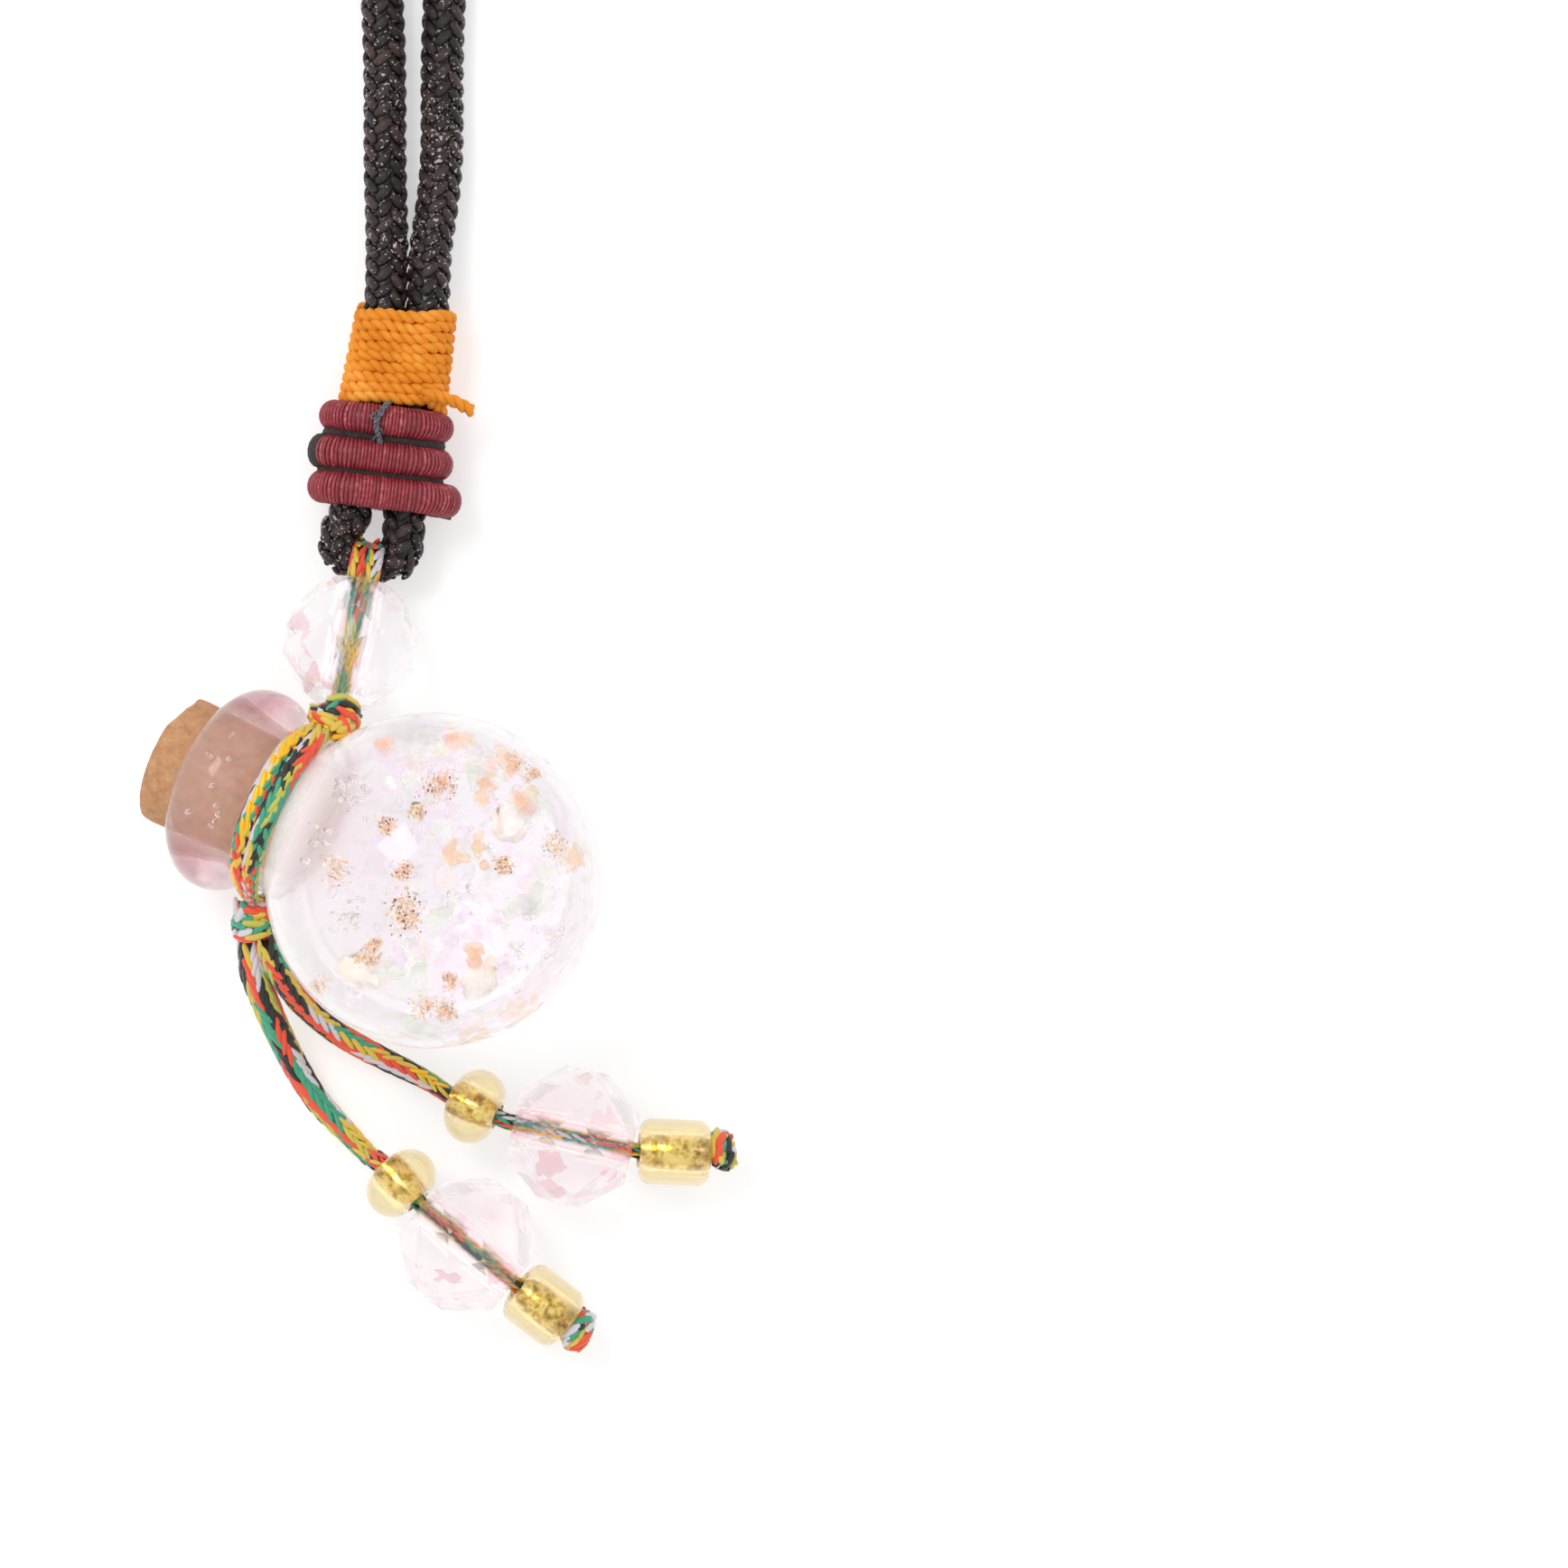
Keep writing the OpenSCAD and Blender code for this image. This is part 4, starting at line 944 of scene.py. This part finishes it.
# %% Turn shapes on a lathe
def lathe(name, profile, at, sides=64, closed=False, warp=None):
    """A surface of revolution. The profile is (radius, height) pairs, at(x, y, z) places a point."""
    angles = np.arange(sides) * math.tau / sides
    points, rings = [], []
    for r, z in profile:
        first = len(points)
        if r < 1e-6:
            points.append((0.0, 0.0, z))
            rings.append([first] * sides)
        else:
            points += [(r * math.cos(a), r * math.sin(a), z) for a in angles]
            rings.append(list(range(first, first + sides)))
    faces = []
    for low, high in zip(rings, rings[1:] + (rings[:1] if closed else [])):
        for k in range(sides):
            m = (k + 1) % sides
            faces.append(tuple(dict.fromkeys((low[k], low[m], high[m], high[k]))))
    points = np.array(points)
    if warp:
        points = warp(points)
    mesh = bpy.data.meshes.new(name)
    mesh.from_pydata((at(*points.T) * MM).tolist(), [], [f for f in faces if len(f) > 2])
    mesh.shade_smooth()
    return mesh


def arc(r, z, radius, start, end, steps):
    """Profile points on an arc. Angles are from the lathe's axis outwards, in degrees."""
    return [(r + radius * math.sin(math.radians(a)), z + radius * math.cos(math.radians(a)))
            for a in np.linspace(start, end, steps)]


def hand_made(points):
    """Dips a few hundredths of a millimetre deep, as a bottle blown by hand has."""
    return points * np.array([[1 - 0.008 * abs(noise.noise(Vector(p) * 0.35))] * 3 for p in points])


# %% Turn the bottle
BODY_R, INNER_R = 6.5, 4.9
LIP_R, LIP_RING, LIP_AT = 1.66, 2.44, 8.72
BOTTLE_SIDES = 96
outer = arc(0, 0, BODY_R, 180, 30.6, 56)
throat = [(3.26, 5.66), (3.25, 5.9), (3.25, 6.6), (3.26, 7.2)]
lip = arc(LIP_RING, LIP_AT, LIP_R, 146, 7, 24)
bore = [(2.57, 10.28), (2.55, 10.1), (2.55, 9.3), (2.55, 8.0), (2.55, 6.5), (2.55, 5.2), (2.56, 4.5)]
inner = arc(0, 0, INNER_R, 31.5, 180, 40)
profile = outer + throat + lip + bore + inner
# Both skins close in one point on the axis
profile[0] = (0, -BODY_R)
profile[-1] = (0, -INNER_R)
bottle = piece_of("bottle", lathe("bottle", profile, in_bottle, BOTTLE_SIDES, warp=hand_made), bottle_mat)
bottle.data.materials.append(inner_mat)
inner_from = BOTTLE_SIDES * (len(profile) - len(inner) - len(bore))
for face in bottle.data.polygons[inner_from:]:
    face.material_index = 1
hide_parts("glass_bottle")

# %% [markdown]
# ## What is in the glass
# Crushed white and pale green glass, copper glitter in clusters, a few amber and salmon patches and
# round air bubbles sit in the wall. One tree scatters grains round given spots and presses them to a
# shell round the body's centre. Sizes are real: glitter of 0.1 mm, bubbles of 0.1 to 0.4 mm.

# %% Geometry tree: grains in glass
grain_tree, given = open_tree("grains in glass", {
    "Count": ("Int", 20), "Spread": ("Float", 0.5 * MM), "Depth": ("Float", 5.8 * MM),
    "Depth spread": ("Float", 0.3 * MM), "Size": ("Float", 0.1 * MM), "Flatness": ("Float", 0.5),
    "Roundness": ("Int", 1), "Press": ("Float", 1.0), "Ragged": ("Float", 0.0), "Seed": ("Int", 1),
    "Material": ("Material", None)})
t = grain_tree
[girth] = read_stations(t, "girth")


def chance(low, high, extra):
    """A random vector for each grain."""
    seed = add(t, "ShaderNodeMath", {0: given["Seed"], 1: float(extra)}, operation="ADD")
    return add(t, "FunctionNodeRandomValue", {0: low, 1: high, "Seed": seed}, data_type="FLOAT_VECTOR")


# Two draws added up gather the grains towards the spot
many = add(t, "GeometryNodeDuplicateElements", {"Geometry": given["Geometry"], "Amount": given["Count"]},
           domain="POINT")
pair = add(t, "ShaderNodeVectorMath", {0: chance((-0.5,) * 3, (0.5,) * 3, 1),
                                       1: chance((-0.5,) * 3, (0.5,) * 3, 2)}, operation="ADD")
wide = add(t, "ShaderNodeMath", {0: given["Spread"], 1: girth}, operation="MULTIPLY")
offset = add(t, "ShaderNodeVectorMath", {0: pair, "Scale": wide}, operation="SCALE")
moved = add(t, "GeometryNodeSetPosition", {"Geometry": many, "Offset": offset})
# Each grain is pressed to its own depth from the body's centre
place = add(t, "GeometryNodeInputPosition")
ray = add(t, "ShaderNodeVectorMath", {0: place, 1: tuple(CENTRE * MM)}, operation="SUBTRACT")
way = add(t, "ShaderNodeVectorMath", {0: ray}, operation="NORMALIZE")
luck = add(t, "ShaderNodeSeparateXYZ", {0: chance((-1.0,) * 3, (1.0,) * 3, 3)})
deep = add(t, "ShaderNodeMath", {0: luck, 1: given["Depth spread"], 2: given["Depth"]},
           operation="MULTIPLY_ADD")
shell = add(t, "ShaderNodeVectorMath", {0: way, "Scale": deep}, operation="SCALE")
spot = add(t, "ShaderNodeVectorMath", {0: shell, 1: tuple(CENTRE * MM)}, operation="ADD")
final = add(t, "ShaderNodeMix", {"Factor": given["Press"], 4: place, 5: spot}, data_type="VECTOR").outputs[1]
pressed = add(t, "GeometryNodeSetPosition", {"Geometry": moved, "Position": final})
# A grain is a flattened ball that faces outward, tilted and scaled by chance
ball = add(t, "GeometryNodeMeshIcoSphere", {"Radius": 0.5, "Subdivisions": given["Roundness"]})
thin = add(t, "ShaderNodeMath", {0: 1.0, 1: given["Flatness"]}, operation="SUBTRACT")
height = add(t, "ShaderNodeMath", {0: given["Size"], 1: thin}, operation="MULTIPLY")
squat = add(t, "ShaderNodeCombineXYZ", {"X": given["Size"], "Y": given["Size"], "Z": height})
shaped = add(t, "GeometryNodeTransform", {"Geometry": ball, "Scale": squat})
round_one = add(t, "FunctionNodeCompare", {2: given["Roundness"], 3: 2}, data_type="INT",
                operation="GREATER_EQUAL")
soft = add(t, "GeometryNodeSetShadeSmooth", {"Geometry": shaped, "Shade Smooth": round_one})
facing = add(t, "FunctionNodeAlignRotationToVector", {"Vector": way}, axis="Z")
tilt = add(t, "FunctionNodeRotateRotation", {"Rotation": facing, "Rotate By": chance(
    (-0.5, -0.5, -3.1), (0.5, 0.5, 3.1), 4)}, rotation_space="LOCAL")
grains = add(t, "GeometryNodeInstanceOnPoints", {"Points": pressed, "Instance": soft, "Rotation": tilt,
                                                 "Scale": chance((0.5,) * 3, (1.4,) * 3, 5)})
shade = add(t, "FunctionNodeRandomValue", {2: 0.0, 3: 1.0, "Seed": given["Seed"]},
            data_type="FLOAT").outputs[1]
toned = add(t, "GeometryNodeStoreNamedAttribute", {"Geometry": grains, "Name": "tint", "Value": shade},
            data_type="FLOAT", domain="INSTANCE")
# Chips get a ragged outline: each point moves by a noise that is the same for its place
real = add(t, "GeometryNodeRealizeInstances", {"Geometry": toned})
rough = add(t, "ShaderNodeTexNoise", {"Scale": 1 / (0.45 * MM), "Detail": 2.0}).outputs["Color"]
even = add(t, "ShaderNodeVectorMath", {0: rough, 1: (0.5,) * 3}, operation="SUBTRACT")
push = add(t, "ShaderNodeVectorMath", {0: even, "Scale": given["Ragged"]}, operation="SCALE")
torn = add(t, "GeometryNodeSetPosition", {"Geometry": real, "Offset": push})
close_tree(t, torn, given["Material"])
print("grain tree:", len(t.nodes), "nodes")


# %% Materials: copper, frit and air
def grain_material(name, stops, settings):
    """A material that takes a tone from its ramp for each grain."""
    made, tree, shader = material(name, settings)
    tint = add(tree, "ShaderNodeAttribute", attribute_name="tint").outputs["Fac"]
    tone = ramp(tree, tint, stops)
    # Glass pieces pass light on to each other, which a little light of their own stands for
    feed(shader, {"Base Color": tone, "Emission Color": tone})
    return made


# The whitest grains, at the ramp's top, are painted glints
copper_mat = grain_material("copper glitter", [
    (0, "#4a3a34"), (0.1, "#6b5247"), (0.16, "#d2a67e"), (0.6, "#e6bf99"), (0.9, "#f7e0c8"), (1, "#ffffff")],
    {"Metallic": 0.1, "Roughness": 0.4, "Emission Strength": 0.26})
frit_mat = grain_material("crushed glass, white and pale green", [
    (0, "#f6f8f2"), (0.4, "#dfe8d6"), (0.7, "#f3e4f6"), (1, "#fbe9da")],
    {"Roughness": 0.6, "Alpha": 0.36, "Emission Strength": 0.22})
chip_mat = grain_material("crushed glass, cream white", [
    (0, "#fffcf8"), (0.6, "#fff3e6"), (1, "#fffaf4")],
    {"Roughness": 0.5, "Alpha": 0.9, "Emission Strength": 0.16})
amber_mat = grain_material("crushed glass, amber", [
    (0, "#f6e2c8"), (0.5, "#f2d0b0"), (1, "#edbb98")],
    {"Roughness": 0.5, "Alpha": 0.42, "Emission Strength": 0.24})
air_mat = grain_material("air bubble", [
    (0, "#ffffff"), (1, "#f3e9ee")],
    {"Roughness": 0.0, "Transmission Weight": 1.0, "IOR": 0.7, "Alpha": 0.8})

# %% Scatter grains
SHELL_R = 5.8
IN_MILLIMETRES = ("spread", "depth", "depth_spread", "size", "ragged")


def scatter(name, spots, finish, at=None, **sizes):
    """Grains round spots given as (x, y, spread), on the upper side unless spread is below 0."""
    spots = np.array(spots, float)
    flat = np.hypot(spots[:, 0], spots[:, 1])
    high = np.sqrt(np.maximum(SHELL_R ** 2 - flat ** 2, 0.4)) * np.sign(spots[:, 2])
    path = np.column_stack([spots[:, 0], spots[:, 1], high + CENTRE[2]]) if at is None else at
    blank = np.tile([0.0, 0.0, 1.0], (len(path), 1))
    source = stations(path, blank, blank, np.abs(spots[:, 2]))
    values = {label.replace("_", " ").capitalize(): size * MM if label in IN_MILLIMETRES else size
              for label, size in sizes.items()}
    grow(name, source, grain_tree, values, finish)


# %% Put the grains in
scatter("copper_glitter", [
    (0.3, 3.45, 0.95), (0.55, 3.6, 0.7), (-0.4, 2.6, 0.45), (-1.5, 2.05, 0.5), (4.6, 1.3, 0.75),
    (-3.35, 0.4, 0.8), (-0.9, 0.4, 0.5), (-0.85, -0.85, 1.0), (-0.75, -1.4, 0.8), (-2.2, -2.8, 0.6),
    (-1.95, -2.3, 0.4), (-0.1, -4.6, 0.8), (0.65, -4.75, 0.5), (0.8, -3.6, 0.4), (-4.1, -3.8, 0.5),
    (2.75, 0.6, 0.45), (3.0, 4.35, 0.5), (3.7, 3.85, 0.4)],
    copper_mat, count=130, spread=0.85, depth=5.98, depth_spread=0.3, size=0.1, flatness=0.4, seed=2)
scatter("white_frit", [
    (1.5, 4.6, 1.6), (4.0, -0.6, 1.6), (0.6, 1.4, 1.8), (2.4, -3.0, 1.8), (-2.0, -3.6, 1.4),
    (-0.6, -2.8, 1.6), (1.4, -1.4, 1.6), (-0.5, 4.4, 1.4), (3.4, 3.0, 1.4)],
    frit_mat, count=12, spread=1.0, depth=5.7, depth_spread=0.3, size=0.75, flatness=0.5, ragged=0.7,
    seed=5)
scatter("white_chips", [
    (2.95, 2.0, 0.4), (1.9, -3.6, 0.3), (-2.6, -3.3, 0.25)],
    chip_mat, count=8, spread=1.0, depth=5.95, depth_spread=0.12, size=1.1, flatness=0.6, ragged=0.95,
    roundness=2, seed=6)
scatter("amber_frit", [
    (3.5, 2.95, 0.45), (2.2, 3.4, 0.8), (1.1, 5.25, 0.6), (2.9, 4.3, 0.7), (1.5, 1.0, 0.9),
    (1.67, -2.6, 0.25), (3.6, -5.1, 0.7), (-1.7, 5.0, 0.25), (1.6, -5.9, 0.6), (5.3, 0.9, 0.5)],
    amber_mat, count=7, spread=1.0, depth=5.9, depth_spread=0.2, size=0.6, flatness=0.6, ragged=0.4,
    roundness=2, seed=8)
scatter("air_bubbles", [
    (-3.4, 3.3, 1.0), (-2.6, -1.0, 0.6), (-3.1, -1.9, 0.8), (1.35, -0.4, 0.9), (4.1, -1.0, 1.2),
    (3.3, -2.9, 1.2), (4.6, -2.0, 0.9), (-4.2, 1.2, 1.2), (1.0, -4.6, 1.0), (-1.0, -0.2, -2.5),
    (1.5, 2.5, -2.5), (-2.6, 3.4, 1.4)],
    air_mat, count=9, spread=1.0, depth=5.75, depth_spread=0.3, size=0.24, flatness=0.1, roundness=2,
    seed=11)
rim_spots = in_bottle(*np.array([(-3.1, 0.6, 8.6), (-3.0, -1.0, 8.9), (-3.2, 1.6, 8.0)]).T)
scatter("rim_bubbles", [(0, 0, 0.9)] * 3, air_mat, at=rim_spots, count=3, spread=1.0, size=0.3,
        flatness=0.1, roundness=2, press=0.0, seed=4)

# %% [markdown]
# ## The cork
# A tapered natural cork, whose upper corner has broken off. Cork is soft brown with darker pores of
# 0.1 to 0.2 mm, and its cut faces are slightly uneven. It is turned on the lathe as the bottle is, and
# one function then moves its points to break the corner and roughen the rest.

# %% Material: natural cork
cork_mat, tree, shader = material("natural cork", {"Roughness": 0.85})
tone, cells = spotted(tree, grain=0.35, detail=4.0, stops=[
    (0.3, "#ac7a52"), (0.46, "#bb8960"), (0.6, "#c4936a"), (0.75, "#cea078")], Roughness=0.7)
where = add(tree, "ShaderNodeTexCoord").outputs["Object"]
pores = add(tree, "ShaderNodeTexVoronoi", {"Vector": where, "Scale": 1 / (0.7 * MM), "Randomness": 1.0})
pore = add(tree, "ShaderNodeMapRange", {"Value": pores.outputs["Distance"], "From Min": 0.04,
                                        "From Max": 0.16, "To Min": 0.25, "To Max": 0.0})
pitted = add(tree, "ShaderNodeMix", {"Factor": pore, "A": tone, "B": srgb("#6a4229")}, data_type="RGBA")
bumped = add(tree, "ShaderNodeBump", {"Height": cells, "Strength": 0.35, "Distance": 0.06 * MM})
feed(shader, {"Base Color": pitted.outputs["Result"], "Normal": bumped})


# %% Break the cork's corner
# The break is a plane through a point near the outer end's edge, which faces this way round the axis
BREAK_SIDE, BREAK_TILT = math.radians(235), 0.61
BREAK_R, BREAK_AT = 2.32, 11.7
OUTER_FACE = 11.6


def broken(points):
    """Takes off the corner, and roughens the cork without making it thicker."""
    round_x, round_y = math.cos(BREAK_SIDE), math.sin(BREAK_SIDE)
    edge = unit((round_x * math.sin(BREAK_TILT), round_y * math.sin(BREAK_TILT), math.cos(BREAK_TILT)))
    root = np.array([round_x * BREAK_R, round_y * BREAK_R, BREAK_AT])
    out = []
    for p in points:
        thinner = 1 - 0.012 * abs(noise.noise(Vector(p) * 2.2))
        r = np.hypot(p[0], p[1])
        p = p * np.array([thinner, thinner, 1])
        if p[2] > OUTER_FACE:
            p[2] -= 0.06 * abs(noise.noise(Vector(p) * 1.7)) * min(1, r)
        past = (p - root) @ edge + 0.1 * noise.noise(Vector(p) * 1.9)
        out.append(p - max(0, past) * edge)
    return np.array(out)


# %% Turn the cork
CORK_IN, CORK_LONG, CORK_OUT = 5.7047, 6.03, 11.74
CORK_R, CORK_TAPER, CORK_ROWS = 2.35, 0.25, 18
inner_end = [(r, CORK_IN) for r in (0, 1.2, 2.2)]
side_rows = [(CORK_R + CORK_TAPER * k / CORK_ROWS, CORK_IN + CORK_LONG * k / CORK_ROWS)
             for k in range(CORK_ROWS)]
outer_end = [(2.56, 11.73)] + [(r, CORK_OUT) for r in (2.4, 2.15, 1.85, 1.5, 1.1, 0.6, 0)]
cork = piece_of("cork", lathe("cork", inner_end + side_rows + outer_end, in_bottle, 56, warp=broken),
                cork_mat, "stopper")
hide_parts("cork_stopper")

# %% [markdown]
# ## Cut crystal beads
# The three fire-polished beads are the measured solids themselves, because their flat facets are the
# shape. A pale tone that changes from facet to facet stands for what each one reflects and bends, and
# pink shards of colour run inside. The tone is drawn from the facet's own direction.

# %% Material: cut crystal
def crystal(name, tones, shards, amount, towards):
    """Cut glass whose tone changes from facet to facet as painted reflection, with a faint painted glow and
    more shards on one side.
    """
    # A faint white glow lifts the beads: painted light
    made, tree, shader = glass(name, bend=1.3, clear=0.6, settings={
        "Roughness": 0.02, "Emission Color": (1, 1, 1, 1), "Emission Strength": 0.035})
    # Each facet draws a pale tone of its own: painted reflection
    normal = add(tree, "ShaderNodeNewGeometry").outputs["True Normal"]
    facet = add(tree, "ShaderNodeVectorMath", {0: normal, 1: (0.05,) * 3}, operation="SNAP")
    draw = add(tree, "ShaderNodeTexWhiteNoise", {"Vector": facet}).outputs["Value"]
    tone = ramp(tree, draw, tones)
    low = add(tree, "ShaderNodeVectorMath", {0: normal, 1: towards}, operation="DOT_PRODUCT")
    # Splinters of about 0.9 mm, some of which are shards
    where = add(tree, "ShaderNodeTexCoord").outputs["Object"]
    splinters = add(tree, "ShaderNodeTexVoronoi", {"Vector": where, "Scale": 1 / (0.9 * MM),
                                                   "Randomness": 1.0}, distance="CHEBYCHEV")
    cut = add(tree, "ShaderNodeSeparateColor", {"Color": splinters.outputs["Color"]})
    likely = add(tree, "ShaderNodeMath", {0: low.outputs["Value"], 1: 0.45, 2: cut},
                 operation="MULTIPLY_ADD")
    shard = add(tree, "ShaderNodeMath", {0: likely, 1: 1.15 - amount}, operation="GREATER_THAN")
    # The outline takes up the shards' colour too
    facing = add(tree, "ShaderNodeLayerWeight", {"Blend": 0.4}).outputs["Facing"]
    rim = add(tree, "ShaderNodeMapRange", {"Value": facing, "From Min": 0.55, "From Max": 0.95,
                                           "To Max": 0.75})
    for share in (rim, shard):
        mixed = add(tree, "ShaderNodeMix", {"Factor": share, "A": tone, "B": srgb(shards)},
                    data_type="RGBA")
        tone = mixed.outputs["Result"]
    feed(shader, {"Base Color": tone})
    return made


clear_mat = crystal("cut crystal, clear", [
    (0, "#ffffff"), (0.5, "#fefcff"), (0.8, "#faf5fb"), (1, "#f3ecf4")],
    shards="#eda4ad", amount=0.12, towards=(-0.9, 0.1, -0.1))
pink_mat = crystal("cut crystal, pale pink", [
    (0, "#fffbfc"), (0.5, "#fff4f7"), (0.8, "#fdeaef"), (1, "#f9dce3")],
    shards="#e38c9d", amount=0.2, towards=(0.1, -0.9, -0.1))
for node, finish in (("top_bead", clear_mat), ("pink_bead_1", pink_mat), ("pink_bead_2", pink_mat)):
    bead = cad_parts[node]
    bead.data.materials.clear()
    bead.data.materials.append(finish)
    print("dressed", node)

# %% [markdown]
# ## Gold-lined beads
# Pale amber glass beads have their bore lined with metal, which shows through as a bright gold
# core. Each is a lathe shape like the measured solid, with a thin lining tube inside.

# %% Materials: amber glass and gold lining
amber_glass_mat, tree, shader = glass("pale amber glass", bend=1.3, clear=0.8)
# The pale amber is the glass's own tone; deeper and darker towards the outline is painted shade
facing = add(tree, "ShaderNodeLayerWeight", {"Blend": 0.35}).outputs["Facing"]
amber = ramp(tree, facing, [(0, "#fff0b2"), (0.5, "#ffe298"), (0.8, "#ffc97a"), (1, "#e4954c")])
feed(shader, {"Base Color": amber})
lining_mat, tree, shader = material("gold lining", {"Metallic": 1.0, "Roughness": 0.25})
# The palest stop, near white, is painted highlight; the darkest is worn metal
gold_and_highlights, worn = spotted(tree, grain=0.3, detail=3.0, stops=[
    (0.34, "#9a8238"), (0.42, "#cbb25c"), (0.5, "#ecdc98"), (0.58, "#fffdf2"), (0.7, "#e2d08a")])
bumped = add(tree, "ShaderNodeBump", {"Height": worn, "Strength": 0.5, "Distance": 0.05 * MM})
feed(shader, {"Base Color": gold_and_highlights, "Normal": bumped})

# %% Turn the gold beads
BORE = 0.65


def gold_bead(name, node, axis, length, wide, rounding):
    """A glass bead turned round its measured place, and the gold tube that lines it."""
    axis = unit(axis)
    x_dir = unit(np.cross(axis, (0, 0, 1)))
    at = placer(middle(node), x_dir, np.cross(axis, x_dir), axis)
    half, flat = length / 2, wide / 2 - rounding
    shell = (arc(flat, half - rounding, rounding - 0.005, 0, 90, 10)
             + arc(flat, rounding - half, rounding - 0.005, 90, 180, 10)
             + [(BORE + 0.08, -half + 0.02), (BORE + 0.03, -half + 0.1), (BORE + 0.03, half - 0.1),
                (BORE + 0.08, half - 0.02)])
    tube = [(BORE + 0.02, -half + 0.03), (BORE + 0.02, half - 0.03), (BORE - 0.01, half - 0.03),
            (BORE - 0.01, -half + 0.03)]
    bead = piece_of(name, lathe(name, shell[::-1], at, 40, closed=True), amber_glass_mat)
    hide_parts(node)
    lining = piece_of(name + "_lining", lathe(name, tube, at, 32, closed=True), lining_mat)


for number, turns, barrel in ((1, TURNS_1, 2.8), (2, TURNS_2, 2.5)):
    gold_bead(f"gold_round_bead_{number}", f"gold_round_{number}", turns[0], length=2.0, wide=3.0,
              rounding=0.99)
    gold_bead(f"gold_barrel_bead_{number}", f"gold_barrel_{number}", turns[2], length=barrel, wide=2.6,
              rounding=0.5)

# %% [markdown]
# ## Table and light
# A white table and an even white surround give the high-key look of a product picture. One large
# soft lamp from the upper left adds shape and the glints on the cord.

# %% White table
TABLE_HALF, TABLE_TOP = 3.0, -0.00002
table_mat, tree, shader = material("matt white table", {
    "Base Color": srgb("#d4d4d4"), "Roughness": 0.9, "Emission Color": (1, 1, 1, 1),
    "Emission Strength": 0.44})
corners = [(x * TABLE_HALF, y * TABLE_HALF, TABLE_TOP) for x, y in ((-1, -1), (1, -1), (1, 1), (-1, 1))]
table_mesh = bpy.data.meshes.new("table")
table_mesh.from_pydata(corners, [], [(0, 1, 2, 3)])
table_mesh.materials.append(table_mat)
table = bpy.data.objects.new("table", table_mesh)
bpy.context.collection.objects.link(table)

# %% White surround and soft lamp
world = bpy.data.worlds.new("white surround")
world.use_nodes = True
surround = world.node_tree.nodes["Background"].inputs
surround["Color"].default_value = (1, 1, 1, 1)
surround["Strength"].default_value = 0.9
bpy.context.scene.world = world
LAMP_AT, LAMP_AIM = (-0.12, 0.14, 0.3), (0.01, 0, 0)
light = bpy.data.lights.new("soft lamp", "AREA")
light.size = 0.12
light.energy = 0.34
lamp = bpy.data.objects.new("soft lamp", light)
lamp.location = LAMP_AT
lamp.rotation_euler = (Vector(LAMP_AIM) - Vector(LAMP_AT)).to_track_quat("-Z", "Y").to_euler()
bpy.context.collection.objects.link(lamp)
bpy.context.scene.view_settings.view_transform = "Standard"
print("lamp and table ready")
